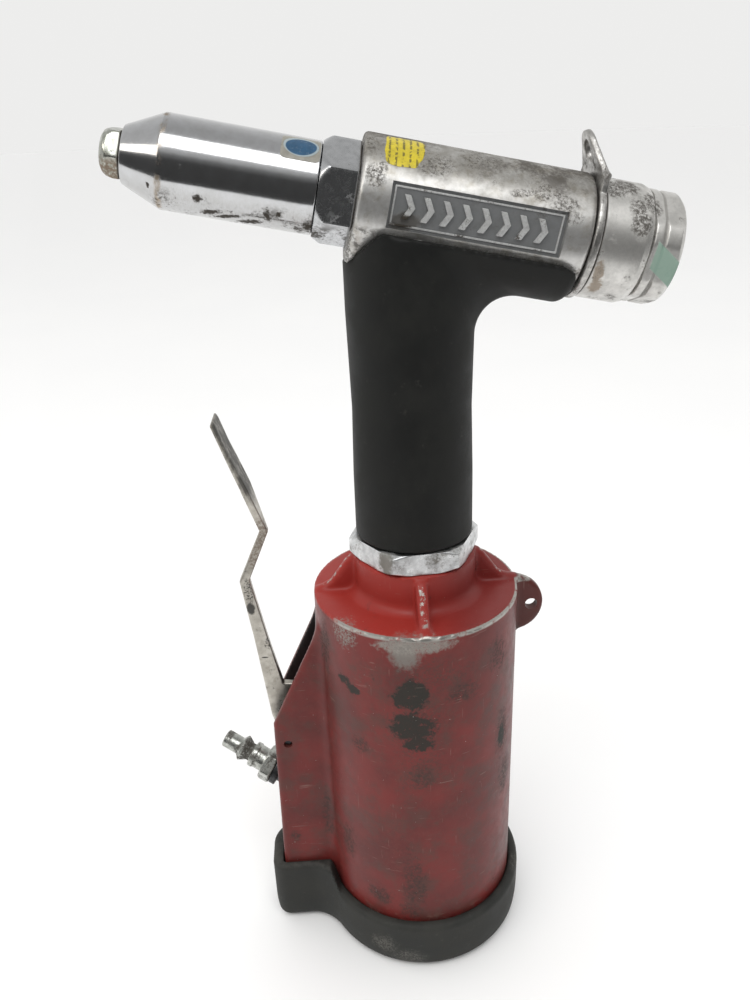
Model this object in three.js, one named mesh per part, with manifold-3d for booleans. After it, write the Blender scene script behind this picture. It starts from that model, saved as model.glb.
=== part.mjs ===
// An air-over-oil hand riveter: a pistol-like blind-rivet tool that stands on its air cylinder.
// Units are millimetres, +Z is up, the nose points along -X, and the origin is the centre of the
// boot's underside, on the air cylinder's axis. Air lifts a large piston, its slim ram pushes oil
// up the handle, and the oil draws a second piston and the jaws back along the head.
import * as THREE from 'three';
import { mergeVertices } from 'three/addons/utils/BufferGeometryUtils.js';
import Module from 'manifold-3d';

const wasm = await Module();
wasm.setup();

// ---------------------------------------------------------------- driving dimensions
const GAP = 0.3;                 // between pieces that touch
const ROUND_LARGE = 48;          // sides of the air cylinder's circles
const ROUND_HEAD = 32;           // sides of the head's and handle's circles
const ROUND_SMALL = 16;          // sides of rods and small rings
const ROUND_TINY = 12;           // sides of pins and drilled holes

const CYLINDER_R = 40;           // air cylinder, outside
const AIR_BORE_R = 36.5;
const CASTING_BOTTOM = 4.4;
const AIR_BORE_TOP = 160;
const CYLINDER_TOP = 166.25;
const NECK_R = 23.5;
const NECK_TOP = 181.5;
const SPIGOT_R = 17;             // handle end inside the neck and the lock nut

const AIR_PISTON_BOTTOM = 20;
const AIR_PISTON_TOP = 36;
const RAM_R = 5.2;
const RAM_TOP = 180;

const HOUSING_HALF = 10.75;      // valve housing, half its width
const HOUSING_CORNER = 8;        // rounding of its corner on the air inlet's side
const SLOT_HALF = 7.6;
const SLOT_FLOOR = 87;
const PIVOT_X = -55;
const PIVOT_Z = 98.8;
const VALVE_X = -46;
const VALVE_BORE_R = 4.6;

const BOOT_R = 44.4;
const BOOT_RIM = 25.3;
const BOOT_LOBE_RIM = 33.5;
const BOOT_FLOOR = 4;

const NUT_BOTTOM = 181.8;
const NUT_TOP = 190.2;
const NUT_CORNER_R = 25.17;
const GRIP_BOTTOM = 190.5;
const GRIP_R = 22.3;
const CORE_R = 18.3;
const OIL_BORE_R = 7.5;

const HEAD_Z = 308.26;           // where the head's axis crosses the handle's axis
const HEAD_TILT = THREE.MathUtils.degToRad(12);
const BARREL_R = 19.8;
const BARREL_FRONT = -17.6;
const BARREL_REAR = 57.2;
const HEAD_BORE_R = 15.3;
const NOSEPIECE_FRONT = -97.7;
const CASING_FRONT = -90.9;
const CASING_R = 14.59;
const CASING_THREAD_R = 13.6;
const DRAW_ROD_R = 6;
const POCKET_FLOOR = 17.4;       // each side pocket's flat floor, from the middle plane

const INLET_SEAT = new THREE.Vector3(-60.1, 4.1, 72.3);
const INLET_AXIS = new THREE.Vector3(-0.845, 0.36, 0.395).normalize();

// ---------------------------------------------------------------- materials
function finish(color, roughness, metalness) {
  return new THREE.MeshStandardMaterial({ color, roughness, metalness });
}
const CHROME = finish(0xc9cccd, 0.12, 1);
const CAST_ALUMINIUM = finish(0xa9aaa6, 0.45, 0.9);
const BRIGHT_ALUMINIUM = finish(0xc4c6c6, 0.3, 1);
const RED_PAINT = finish(0x8a2a28, 0.45, 0.1);
const BLACK_RUBBER = finish(0x1c1d1c, 0.85, 0);
const NICKEL_STEEL = finish(0xa8a59c, 0.35, 0.9);
const TOOL_STEEL = finish(0x74757a, 0.4, 0.9);
const DARK_STEEL = finish(0x3a3a3c, 0.5, 0.8);
const SPRING_STEEL = finish(0x8c8f94, 0.35, 0.9);
const BRASS = finish(0xb08d4a, 0.35, 0.9);
const NITRILE = finish(0x161616, 0.7, 0);

// ---------------------------------------------------------------- solids
// A closed geometry as a manifold-3d solid whose faces point out.
function solid(geometry) {
  const bare = geometry.clone();
  bare.deleteAttribute('normal');
  bare.deleteAttribute('uv');
  const merged = mergeVertices(bare, 1e-4);
  const position = merged.attributes.position.array;
  const triangles = [];
  for (let i = 0; i < merged.index.count; i += 3) {
    const [a, b, c] = [0, 1, 2].map((k) => merged.index.getX(i + k));
    if (a !== b && b !== c && c !== a) triangles.push(a, b, c);
  }
  if (signedVolume(position, triangles) < 0) triangles.reverse();
  return new wasm.Manifold(new wasm.Mesh({
    numProp: 3,
    vertProperties: position,
    triVerts: new Uint32Array(triangles),
  }));
}

function signedVolume(position, triangles) {
  const corner = (i) => new THREE.Vector3().fromArray(position, 3 * triangles[i]);
  let volume = 0;
  for (let i = 0; i < triangles.length; i += 3) {
    volume += corner(i).dot(corner(i + 1).cross(corner(i + 2))) / 6;
  }
  return volume;
}

function geometryOf(body) {
  const mesh = body.getMesh();
  const geometry = new THREE.BufferGeometry();
  geometry.setAttribute('position', new THREE.BufferAttribute(mesh.vertProperties, 3));
  geometry.setIndex(new THREE.BufferAttribute(mesh.triVerts, 1));
  geometry.computeVertexNormals();
  return geometry;
}

const join = (first, ...others) => others.reduce((all, one) => all.add(one), first);
const cut = (first, ...others) => others.reduce((all, one) => all.subtract(one), first);

// A profile of [radius, height] points turned about +Z. A profile that is off the axis at both
// ends is closed on itself, which makes a ring.
function turned(profile, sides) {
  const points = profile.map(([r, h]) => new THREE.Vector2(r, h));
  const onAxis = profile[0][0] === 0 && profile.at(-1)[0] === 0;
  if (!onAxis) points.push(points[0].clone());
  return new THREE.LatheGeometry(points, sides).rotateX(Math.PI / 2);
}

// The same, turned about +X: points are [radius, distance along X].
const turnedX = (profile, sides) => turned(profile, sides).rotateY(Math.PI / 2);

function rod(radius, from, to, sides) {
  return turned([[0, from], [radius, from], [radius, to], [0, to]], sides);
}
const rodX = (radius, from, to, sides) => rod(radius, from, to, sides).rotateY(Math.PI / 2);

function ring(inner, outer, from, to, sides) {
  return turned([[inner, from], [outer, from], [outer, to], [inner, to]], sides);
}
const ringX = (inner, outer, from, to, sides) => ring(inner, outer, from, to, sides).rotateY(Math.PI / 2);

function outline(points) {
  return new THREE.Shape(points.map(([x, y]) => new THREE.Vector2(x, y)));
}

// An upright plate: a shape drawn in X and Z, spread evenly to both sides of y = 0.
function plateXZ(shape, width, curveSegments = 12) {
  return new THREE.ExtrudeGeometry(shape, { depth: width, bevelEnabled: false, curveSegments })
    .rotateX(Math.PI / 2)
    .translate(0, width / 2, 0);
}

// A level plate: a shape drawn in X and Y, from one height to another.
function plateXY(shape, from, to, curveSegments = 12) {
  return new THREE.ExtrudeGeometry(shape, { depth: to - from, bevelEnabled: false, curveSegments })
    .translate(0, 0, from);
}

function hexagon(cornerRadius, firstCorner) {
  const corners = [...Array(6).keys()].map((k) => firstCorner + (k * Math.PI) / 3);
  return outline(corners.map((a) => [cornerRadius * Math.cos(a), cornerRadius * Math.sin(a)]));
}

// A coil spring about +Z as one closed tube along a helix, with its ends cut square.
function coil(meanRadius, wireRadius, from, to, turns) {
  const length = to - from;
  class Helix extends THREE.Curve {
    getPoint(t, target = new THREE.Vector3()) {
      const angle = 2 * Math.PI * turns * t;
      return target.set(meanRadius * Math.cos(angle), meanRadius * Math.sin(angle), from + length * t);
    }
  }
  const section = new THREE.Shape().absarc(0, 0, wireRadius, 0, 2 * Math.PI);
  return new THREE.ExtrudeGeometry(section, {
    steps: turns * 10,
    curveSegments: 3,
    bevelEnabled: false,
    extrudePath: new Helix(),
  });
}

// ---------------------------------------------------------------- the head's frame
// Inside the head group +X runs rearward along the barrel and +Z is square to it, upward.
const headMatrix = new THREE.Matrix4()
  .makeRotationY(HEAD_TILT)
  .setPosition(0, 0, HEAD_Z);
const inHead = (geometry) => geometry.applyMatrix4(headMatrix);

// ---------------------------------------------------------------- head pieces
function nosepiece() {
  const front = NOSEPIECE_FRONT;
  const shoulder = CASING_FRONT - 0.4;
  const hexHead = solid(new THREE.ExtrudeGeometry(hexagon(8.25, Math.PI / 2 + 0.08), {
    depth: shoulder - front,
    bevelEnabled: false,
  }).rotateY(Math.PI / 2).translate(front, 0, 0));
  const dome = solid(turnedX([
    [0, front], [5, front], [6.4, front + 0.8], [7.4, front + 2.1], [8.3, front + 4.3],
    [8.3, shoulder], [0, shoulder],
  ], ROUND_SMALL));
  const tail = solid(turnedX([
    [0, -93], [5.9, -93], [5.9, -86.5], [3.3, -86], [3.3, -83.2], [2.6, -82.5], [0, -82.5],
  ], ROUND_SMALL));
  const mandrelBore = solid(rodX(1.65, -100, -80, ROUND_TINY));
  return cut(join(hexHead.intersect(dome), tail), mandrelBore);
}

function noseCasing() {
  return solid(turnedX([
    [6.2, CASING_FRONT], [8.9, CASING_FRONT], [CASING_R, CASING_FRONT + 12.3],
    [CASING_R, -30.2], [CASING_THREAD_R, -30.2], [CASING_THREAD_R, -15], [10.4, -15],
    [10.4, -84], [8.8, -86], [6.2, -86],
  ], ROUND_HEAD));
}

function noseLocknut() {
  const hexBody = solid(new THREE.ExtrudeGeometry(hexagon(16.8, 0), {
    depth: 12,
    bevelEnabled: false,
  }).rotateY(Math.PI / 2).translate(-29.9, 0, 0));
  const chamfered = solid(turnedX([
    [CASING_THREAD_R + GAP, -29.9], [14.9, -29.9], [17, -27], [17, -18.4], [16.4, -17.9],
    [CASING_THREAD_R + GAP, -17.9],
  ], ROUND_HEAD));
  return hexBody.intersect(chamfered);
}

function rodGland() {
  return solid(turnedX([
    [6.3, -14.6], [CASING_THREAD_R, -14.6], [CASING_THREAD_R, -8.5], [6.3, -8.5],
    [6.3, -10.4], [8.9, -10.4], [8.9, -13.2], [6.3, -13.2],
  ], ROUND_HEAD));
}

function jawCase() {
  return solid(turnedX([
    [4.1, -84], [8.6, -84], [10, -82.6], [10, -48], [6.3, -48], [6.3, -53.7],
    [8.3, -53.7], [8.3, -66],
  ], ROUND_HEAD));
}

// One of three gripping jaws: a third of a cone, with a slot left on both of its sides.
function jaw(angle) {
  const cone = solid(turnedX([[2, -82], [4.22, -82], [7.44, -68.2], [2, -68.2]], ROUND_HEAD));
  const apex = 0.7;
  const reach = 20;
  const wedge = outline([
    [apex, 0],
    [apex + reach / 2, (-reach * Math.sqrt(3)) / 2],
    [apex + 2 * reach, 0],
    [apex + reach / 2, (reach * Math.sqrt(3)) / 2],
  ]);
  const sector = new THREE.ExtrudeGeometry(wedge, { depth: 20, bevelEnabled: false })
    .rotateZ(angle)
    .rotateY(Math.PI / 2)
    .translate(-85, 0, 0);
  return cone.intersect(solid(sector));
}

function jawPusher() {
  return solid(turnedX([
    [2.4, -67.9], [6.4, -67.9], [7.9, -64], [7.9, -62.5], [5.2, -62.5], [5.2, -61], [2.4, -61],
  ], ROUND_SMALL));
}

function drawPiston() {
  return solid(turnedX([
    [0, -22], [2.4, -24], [2.4, -54], [DRAW_ROD_R, -54], [DRAW_ROD_R, 10], [14.9, 10],
    [14.9, 13], [12.6, 13], [12.6, 17], [14.9, 17], [14.9, 20], [9, 20], [9, 24], [0, 24],
  ], ROUND_HEAD));
}

function rearCap() {
  const shell = solid(turnedX([
    [15, 50], [15, 53], [13.9, 53], [13.9, 55], [15, 55], [15, 60.2], [19.5, 60.2],
    [19.5, 74.6], [18.8, 76.6], [17, 76.8], [17, 84], [0, 84], [0, 80], [12.8, 80], [12.8, 50],
  ], ROUND_HEAD));
  const collarRound = solid(turnedX([
    [0, 76], [18.6, 76], [18.6, 80.2], [18, 80.6], [18, 81.4], [18.6, 81.8], [18.6, 86.4],
    [17.2, 88], [0, 88],
  ], ROUND_HEAD));
  const collarHex = solid(new THREE.ExtrudeGeometry(hexagon(20.2, Math.PI / 2 - 0.35), {
    depth: 20,
    bevelEnabled: false,
  }).rotateY(Math.PI / 2).translate(70, 0, 0));
  const hollow = solid(rodX(12.8, 49, 80, ROUND_HEAD));
  return cut(join(shell, collarRound.intersect(collarHex)), hollow);
}

const TAB_LEAN = THREE.MathUtils.degToRad(28.4);
const TAB_BASE_V = 20.3;
const TAB_THICKNESS = 2.2;
const EYE_R = 3.5;
const EYE_UP_THE_TAB = 7.2;

function hangerRing() {
  const face = new THREE.Shape().absarc(0, 0, 20.4, 0, 2 * Math.PI);
  const disc = solid(new THREE.ExtrudeGeometry(face, {
    depth: 2.4,
    bevelEnabled: false,
    curveSegments: ROUND_HEAD,
  }).rotateY(Math.PI / 2).translate(57.5, 0, 0));
  const shoulder = outline([
    [-12.5, -14.5], [-TAB_BASE_V - 0.4, -13], [-TAB_BASE_V - 0.4, 13], [-12.5, 14.5],
  ]);
  const foot = solid(new THREE.ExtrudeGeometry(shoulder, { depth: 2.4, bevelEnabled: false })
    .rotateY(Math.PI / 2)
    .translate(57.5, 0, 0));
  const hole = solid(rodX(15.5, 50, 70, ROUND_HEAD));
  return join(cut(join(disc, foot), hole), hangerTab());
}

// The tab leans forward from the ring's top and ends in a rounded eye.
function hangerTab() {
  const top = 6.3;
  const shape = new THREE.Shape();
  shape.moveTo(-13, 0);
  shape.lineTo(13, 0);
  shape.lineTo(top * Math.cos(0.35), EYE_UP_THE_TAB + top * Math.sin(0.35));
  shape.absarc(0, EYE_UP_THE_TAB, top, 0.35, Math.PI - 0.35);
  shape.closePath();
  shape.holes.push(new THREE.Path().absarc(0, EYE_UP_THE_TAB, EYE_R, 0, 2 * Math.PI, true));
  const across = new THREE.Vector3(0, 1, 0);
  const along = new THREE.Vector3(-Math.sin(TAB_LEAN), 0, Math.cos(TAB_LEAN));
  const through = new THREE.Vector3().crossVectors(across, along);
  const place = new THREE.Matrix4()
    .makeBasis(across, along, through)
    .setPosition(58.7, 0, TAB_BASE_V);
  return solid(new THREE.ExtrudeGeometry(shape, {
    depth: TAB_THICKNESS,
    bevelEnabled: false,
    curveSegments: 10,
  }).translate(0, 0, -TAB_THICKNESS / 2).applyMatrix4(place));
}

// The barrel with a flat pocket in each side, the front lug and the handle core are one casting.
function headCasting() {
  const barrel = solid(inHead(rodX(BARREL_R, BARREL_FRONT, BARREL_REAR, ROUND_HEAD)));
  const lug = solid(inHead(plateXZ(
    outline([[-17.6, -6], [-10.3, -6], [-10.3, -9.4], [-17.6, -20]]), 24)));
  const core = solid(turned([
    [0, AIR_BORE_TOP + GAP], [SPIGOT_R, AIR_BORE_TOP + GAP], [SPIGOT_R, GRIP_BOTTOM + 0.1],
    [CORE_R, GRIP_BOTTOM + 0.1], [CORE_R, 300], [0, 300],
  ], ROUND_HEAD));
  const pockets = [-1, 1].map((side) => solid(inHead(new THREE.BoxGeometry(56.1, 4, 14)
    .translate(20.25, side * (POCKET_FLOOR + 2), 0.9))));
  const bores = [
    solid(inHead(rodX(CASING_THREAD_R + GAP, -30, -8.2, ROUND_HEAD))),
    solid(inHead(rodX(12.2, -9, 10, ROUND_HEAD))),
    solid(inHead(rodX(HEAD_BORE_R, 9.5, 60, ROUND_HEAD))),
    solid(rod(OIL_BORE_R, 150, 300, ROUND_HEAD)),
    solid(rod(12.9, 150, 172.3, ROUND_HEAD)),
  ];
  return cut(join(barrel, lug, core), ...pockets, ...bores);
}

// ---------------------------------------------------------------- handle pieces
// The rubber grip: a sleeve on the handle core and a saddle that cradles the barrel's underside.
function gripSleeve() {
  const sleeve = solid(turned([
    [0, GRIP_BOTTOM], [GRIP_R - 0.5, GRIP_BOTTOM], [GRIP_R, GRIP_BOTTOM + 2], [GRIP_R - 0.2, 215],
    [GRIP_R - 0.8, 240], [GRIP_R - 0.3, 262], [GRIP_R, 275], [GRIP_R, 300], [0, 300],
  ], ROUND_HEAD));
  const saddle = solid(inHead(rodX(22.6, -16, 56.9, ROUND_HEAD)));
  const heel = new THREE.Shape();
  heel.moveTo(10, 262);
  heel.lineTo(21.4, 262);
  heel.quadraticCurveTo(22, 279.4, 39.5, 276.6);
  heel.lineTo(39.5, 290);
  heel.lineTo(10, 290);
  heel.closePath();
  const web = solid(plateXZ(heel, 22, 6));
  const aboveSeam = solid(inHead(plateXZ(outline([
    [-60, -20.6], [-18, -20.6], [-10.6, -9.6], [-8, -8], [50.5, -8.3], [54.6, -9.8],
    [56.6, -12.8], [57, -16], [57, -60], [90, -60], [90, 60], [-60, 60],
  ]), 80)));
  const barrelRoom = solid(inHead(rodX(BARREL_R + GAP, -30, 70, ROUND_HEAD)));
  const lugRoom = solid(inHead(plateXZ(
    outline([[-18, -6], [-10, -6], [-10, -9.4], [-17.2, -20], [-18, -20.3]]), 24 + 2 * GAP)));
  const coreRoom = solid(rod(CORE_R + GAP, 150, 310, ROUND_HEAD));
  return cut(join(sleeve, saddle, web), aboveSeam, barrelRoom, lugRoom, coreRoom);
}

function handleLocknut() {
  const hexBody = solid(plateXY(hexagon(NUT_CORNER_R, THREE.MathUtils.degToRad(5)), NUT_BOTTOM, NUT_TOP));
  const chamfered = solid(turned([
    [SPIGOT_R + GAP, NUT_BOTTOM], [22.8, NUT_BOTTOM], [25.3, NUT_BOTTOM + 1.5],
    [25.3, NUT_TOP - 1.5], [22.8, NUT_TOP], [SPIGOT_R + GAP, NUT_TOP],
  ], ROUND_HEAD));
  return hexBody.intersect(chamfered);
}

function ramGland() {
  return solid(turned([
    [5.5, 160.5], [12.6, 160.5], [12.6, 172], [5.5, 172], [5.5, 168.2], [8, 168.2],
    [8, 164.3], [5.5, 164.3],
  ], ROUND_SMALL));
}

// ---------------------------------------------------------------- base pieces
// Air cylinder, neck, ribs, hanging ear and valve housing, cast in one.
function baseCasting() {
  const body = solid(turned([
    [0, CASTING_BOTTOM], [CYLINDER_R, CASTING_BOTTOM], [CYLINDER_R, CYLINDER_TOP - 0.8],
    [CYLINDER_R - 0.8, CYLINDER_TOP], [28, CYLINDER_TOP], [24.6, 167.8], [NECK_R, 171],
    [NECK_R, NECK_TOP - 0.6], [NECK_R - 0.6, NECK_TOP], [0, NECK_TOP],
  ], ROUND_LARGE));
  const ribShape = outline([
    [20, 165], [38.6, 165], [38.6, 166.8], [33, 170], [27, 178.5], [25, 180.4], [20, 180.4],
  ]);
  const ribs = [0, 1, 2, 3].map((k) => solid(plateXZ(ribShape, 4.4).rotateZ((k * Math.PI) / 2)));
  const ear = solid(plateXZ(new THREE.Shape().absarc(38.6, 154.5, 12.6, 0, 2 * Math.PI), 4, 24));
  const housing = solid(plateXZ(outline([
    [-30, CASTING_BOTTOM], [-61.6, CASTING_BOTTOM], [-61.4, 39.4], [-60.8, 76.7],
    [-60.2, 108.7], [-39, 154], [-30, 154],
  ]), 2 * HOUSING_HALF));
  const roundedCorner = cornerRounding(-61.7, HOUSING_HALF + 0.1, HOUSING_CORNER, 0, 160);
  const slot = solid(plateXZ(outline([
    [-40.3, SLOT_FLOOR], [-40.3, 170], [-70, 170], [-70, 96], [-58.4, 96], [-58.4, SLOT_FLOOR],
  ]), 2 * SLOT_HALF));
  return cut(
    join(body, ...ribs, ear, cut(housing, roundedCorner)),
    solid(rod(AIR_BORE_R, 0, AIR_BORE_TOP, ROUND_LARGE)),
    solid(ring(30, 37.9, 5.9, 7.9, ROUND_LARGE)),
    solid(rod(SPIGOT_R + GAP, 150, 190, ROUND_HEAD)),
    solid(plateXZ(new THREE.Shape().absarc(46.4, 154.1, 2.5, 0, 2 * Math.PI), 8, 12)),
    slot,
    ...valvePassages(),
  );
}

// What is taken off to round the corner of the valve housing, or of its boot, on the inlet's side.
// The corner stands at (front, half); radius is that of the rounding.
function cornerRounding(front, half, radius, low, high) {
  const corner = new THREE.Shape();
  corner.moveTo(front, half - radius);
  corner.lineTo(front - 5, half - radius);
  corner.lineTo(front - 5, half + 5);
  corner.lineTo(front + radius, half + 5);
  corner.lineTo(front + radius, half);
  corner.absarc(front + radius, half - radius, radius, Math.PI / 2, Math.PI);
  return solid(plateXY(corner, low, high));
}

function valvePassages() {
  const bore = solid(rod(VALVE_BORE_R, 12, SLOT_FLOOR + 1, ROUND_SMALL).translate(VALVE_X, 0, 0));
  const capThread = solid(rod(6, 0, 15, ROUND_SMALL).translate(VALVE_X, 0, 0));
  const toCylinder = solid(rodX(2, VALVE_X, -34, ROUND_TINY).translate(0, 0, 17.2));
  const pinHole = solid(plateXZ(new THREE.Shape().absarc(PIVOT_X, PIVOT_Z, 1.8, 0, 2 * Math.PI), 30, 8));
  const inletBore = solid(alongInlet(rod(5.3, -16, 1, ROUND_SMALL)));
  const spotFace = solid(alongInlet(rod(9.4, 0, 30, ROUND_SMALL)));
  return [bore, capThread, toCylinder, pinHole, inletBore, spotFace];
}

// Places a piece made about +Z on the air inlet's axis, with z = 0 on the spot-faced seat.
function alongInlet(geometry) {
  const turn = new THREE.Quaternion().setFromUnitVectors(new THREE.Vector3(0, 0, 1), INLET_AXIS);
  return geometry.applyQuaternion(turn).translate(INLET_SEAT.x, INLET_SEAT.y, INLET_SEAT.z);
}

function airPiston() {
  return solid(turned([
    [4.5, AIR_PISTON_TOP], [36.2, AIR_PISTON_TOP], [36.2, 30.2], [33, 30.2], [33, 25.8],
    [36.2, 25.8], [36.2, AIR_PISTON_BOTTOM], [15, AIR_PISTON_BOTTOM], [15, 27], [4.5, 27],
  ], ROUND_LARGE));
}

function ramRod() {
  return solid(turned([
    [0, 20.6], [4.2, 20.6], [4.2, AIR_PISTON_TOP + GAP], [RAM_R, AIR_PISTON_TOP + GAP],
    [RAM_R, RAM_TOP - 1], [RAM_R - 1, RAM_TOP], [0, RAM_TOP],
  ], ROUND_SMALL));
}

function ramNut() {
  return cut(
    solid(plateXY(hexagon(8.1, 0), 20.7, 26.7)),
    solid(rod(4.5, 10, 40, ROUND_SMALL)),
  );
}

function basePlate() {
  return solid(turned([
    [0, 8.2], [36.2, 8.2], [36.2, 10], [33.5, 10], [33.5, 12.4], [36.2, 12.4], [36.2, 14.2], [0, 14.2],
  ], ROUND_LARGE));
}

function snapRing() {
  return cut(
    solid(ring(33.8, 37.6, 6.2, 7.6, ROUND_LARGE)),
    solid(new THREE.BoxGeometry(10, 12, 10).translate(36, 0, 7)),
  );
}

// The outline of the boot or of its hollow: a circle with a rectangular lobe towards -X, blended
// by two concave arcs.
function lobedOutline(radius, half, front, corner, blend) {
  const blendY = half + blend;
  const blendX = -Math.sqrt((radius + blend) ** 2 - blendY ** 2);
  const meet = Math.atan2(blendY, blendX);
  const shape = new THREE.Shape();
  shape.absarc(0, 0, radius, -meet, meet);
  shape.absarc(blendX, blendY, blend, meet - Math.PI, -Math.PI / 2, true);
  shape.absarc(front + corner, half - corner, corner, Math.PI / 2, Math.PI);
  shape.absarc(front + corner, -(half - corner), corner, Math.PI, 1.5 * Math.PI);
  shape.absarc(blendX, -blendY, blend, Math.PI / 2, Math.PI - meet, true);
  return shape;
}

function rubberBoot() {
  const outer = lobedOutline(BOOT_R, 14, -66.8, 6, 8);
  const inner = lobedOutline(CYLINDER_R + 0.35, HOUSING_HALF + 0.35, -62, 0.4, 0.5);
  const hollowCorner = cornerRounding(-62, HOUSING_HALF + 0.35, HOUSING_CORNER, BOOT_FLOOR, 60);
  const outerCorner = cornerRounding(-66.8, 14, HOUSING_CORNER + 4, 0, 60);
  const lobeFront = outline([[-80, -14.1], [-43, -14.1], [-43, 14.1], [-80, 14.1]]);
  const wall = join(
    solid(plateXY(outer, 0, BOOT_RIM)),
    solid(plateXY(outer, 0, BOOT_LOBE_RIM)).intersect(solid(plateXY(lobeFront, 0, 50))),
  );
  return cut(wall, cut(solid(plateXY(inner, BOOT_FLOOR, 60)), hollowCorner), outerCorner);
}

// ---------------------------------------------------------------- valve and trigger
// A bent bar: a broad hub in the slot, a flat blade with a step, and above its knee a finger pad.
function triggerLever() {
  const side = outline([
    [-72, 237.6], [-71.1, 239.7], [-70.2, 237.6], [-67.3, 228.3], [-61.2, 212.2], [-57.5, 199.5],
    [-55.6, 193], [-64.5, 172.5], [-59.7, 145], [-55.3, 122.8], [-50, 122.3], [-43.5, 100],
    [-43.5, 91.5], [-56.4, 91.5], [-57.6, 97], [-59.6, 101], [-61.3, 107], [-65.3, 146],
    [-68.5, 171.8], [-58.8, 193], [-60.7, 200.2], [-64.05, 212.4], [-69.1, 228.4],
  ]);
  const hubHalf = 7.2;
  const bladeHalf = 1.6;
  const padHalf = 6;
  const widths = [
    [hubHalf, 91], [hubHalf, 101], [bladeHalf, 103], [bladeHalf, 193], [3.6, 202], [5.2, 210],
    [padHalf, 222], [padHalf, 236], [4.4, 238.8], [2.4, 240],
  ];
  const mirrored = widths.map(([half, height]) => [-half, height]).reverse();
  const front = plateXZ(outline([...widths, ...mirrored]), 44)
    .rotateZ(Math.PI / 2)
    .translate(-58, 0, 0);
  const pinHole = new THREE.Shape().absarc(PIVOT_X, PIVOT_Z, 1.8, 0, 2 * Math.PI);
  return cut(
    solid(plateXZ(side, 2 * hubHalf)).intersect(solid(front)),
    solid(plateXZ(pinHole, 30, 8)),
  );
}

function leverPin() {
  return solid(plateXZ(new THREE.Shape().absarc(PIVOT_X, PIVOT_Z, 1.5, 0, 2 * Math.PI), 18.6, 8));
}

function valveSpool() {
  return solid(turned([
    [0, 45], [2.4, 45], [2.4, 54], [4.2, 54], [4.2, 56.2], [3.2, 56.2], [3.2, 58.8], [4.2, 58.8],
    [4.2, 61], [2, 63], [2, 70.5], [4.2, 72], [4.2, 73.2], [3.2, 73.2], [3.2, 75.8], [4.2, 75.8],
    [4.2, 77], [2.3, 77], [2.3, 89.4], [2, 90.3], [1.2, 91], [0, 91.2],
  ], ROUND_SMALL).translate(VALVE_X, 0, 0));
}

const onValveAxis = (geometry) => geometry.translate(VALVE_X, 0, 0);

function valveCap() {
  return cut(
    solid(onValveAxis(rod(5.7, 4.9, 14.5, ROUND_SMALL))),
    solid(plateXY(hexagon(3, 0), 0, 9).translate(VALVE_X, 0, 0)),
  );
}

function airPlug() {
  const turnedBody = solid(alongInlet(turned([
    [2.3, -7], [3.9, -7], [3.9, 4], [5.2, 4], [5.2, 12.6], [5.6, 12.8], [5.6, 14.9], [3.9, 15.1],
    [3.9, 16.5], [5.7, 19.6], [5.7, 20], [3.85, 21.5], [3.85, 28.6], [3.5, 29], [2.3, 29],
  ], ROUND_SMALL)));
  const hexBody = solid(alongInlet(plateXY(hexagon(8.25, 0.25), 3.2, 8.4)));
  const chamfered = solid(alongInlet(turned([
    [3, 3.2], [7.3, 3.2], [8.3, 4], [8.3, 7.6], [7.3, 8.4], [3, 8.4],
  ], ROUND_SMALL)));
  return join(turnedBody, hexBody.intersect(chamfered));
}

function inletBushing() {
  return solid(alongInlet(turned([
    [4.2, -8], [5, -8], [5, GAP], [7.2, GAP], [7.2, 2.9], [4.2, 2.9],
  ], ROUND_SMALL)));
}

// ---------------------------------------------------------------- assembly
const riveter = new THREE.Group();
const head = new THREE.Group();
head.position.set(0, 0, HEAD_Z);
head.rotation.y = HEAD_TILT;
riveter.add(head);

function place(parent, name, shape, material) {
  const body = shape.isBufferGeometry ? solid(shape) : shape;
  const mesh = new THREE.Mesh(geometryOf(body), material);
  mesh.name = name;
  parent.add(mesh);
}

place(head, 'nosepiece', nosepiece(), TOOL_STEEL);
place(head, 'nose_casing', noseCasing(), CHROME);
place(head, 'nose_locknut', noseLocknut(), CHROME);
place(head, 'rod_gland', rodGland(), BRASS);
place(head, 'rod_seal', ringX(6.15, 8.6, -12.9, -10.7, ROUND_HEAD), NITRILE);
place(head, 'jaw_case', jawCase(), TOOL_STEEL);
for (const [k, angle] of [0, 120, 240].entries()) {
  place(head, `jaw_${k + 1}`, jaw(THREE.MathUtils.degToRad(angle)), DARK_STEEL);
}
place(head, 'jaw_pusher', jawPusher(), TOOL_STEEL);
place(head, 'jaw_spring', coil(6.6, 0.6, -60.1, -54.9, 3).rotateY(Math.PI / 2), SPRING_STEEL);
place(head, 'draw_piston', drawPiston(), TOOL_STEEL);
place(head, 'draw_piston_seal', ringX(12.8, 15.15, 13.2, 16.8, ROUND_HEAD), NITRILE);
place(head, 'return_spring', coil(11, 1.2, 21.6, 78.4, 8).rotateY(Math.PI / 2), SPRING_STEEL);
place(head, 'rear_cap', rearCap(), CAST_ALUMINIUM);
place(head, 'rear_cap_seal', ringX(14.1, 15.15, 53.2, 54.8, ROUND_HEAD), NITRILE);
place(head, 'hanger_ring', hangerRing(), CAST_ALUMINIUM);

place(riveter, 'head_casting', headCasting(), CAST_ALUMINIUM);
place(riveter, 'grip_sleeve', gripSleeve(), BLACK_RUBBER);
place(riveter, 'handle_locknut', handleLocknut(), BRIGHT_ALUMINIUM);
place(riveter, 'ram_gland', ramGland(), BRASS);
place(riveter, 'ram_seal', ring(5.35, 7.7, 164.6, 167.9, ROUND_SMALL), NITRILE);

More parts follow.
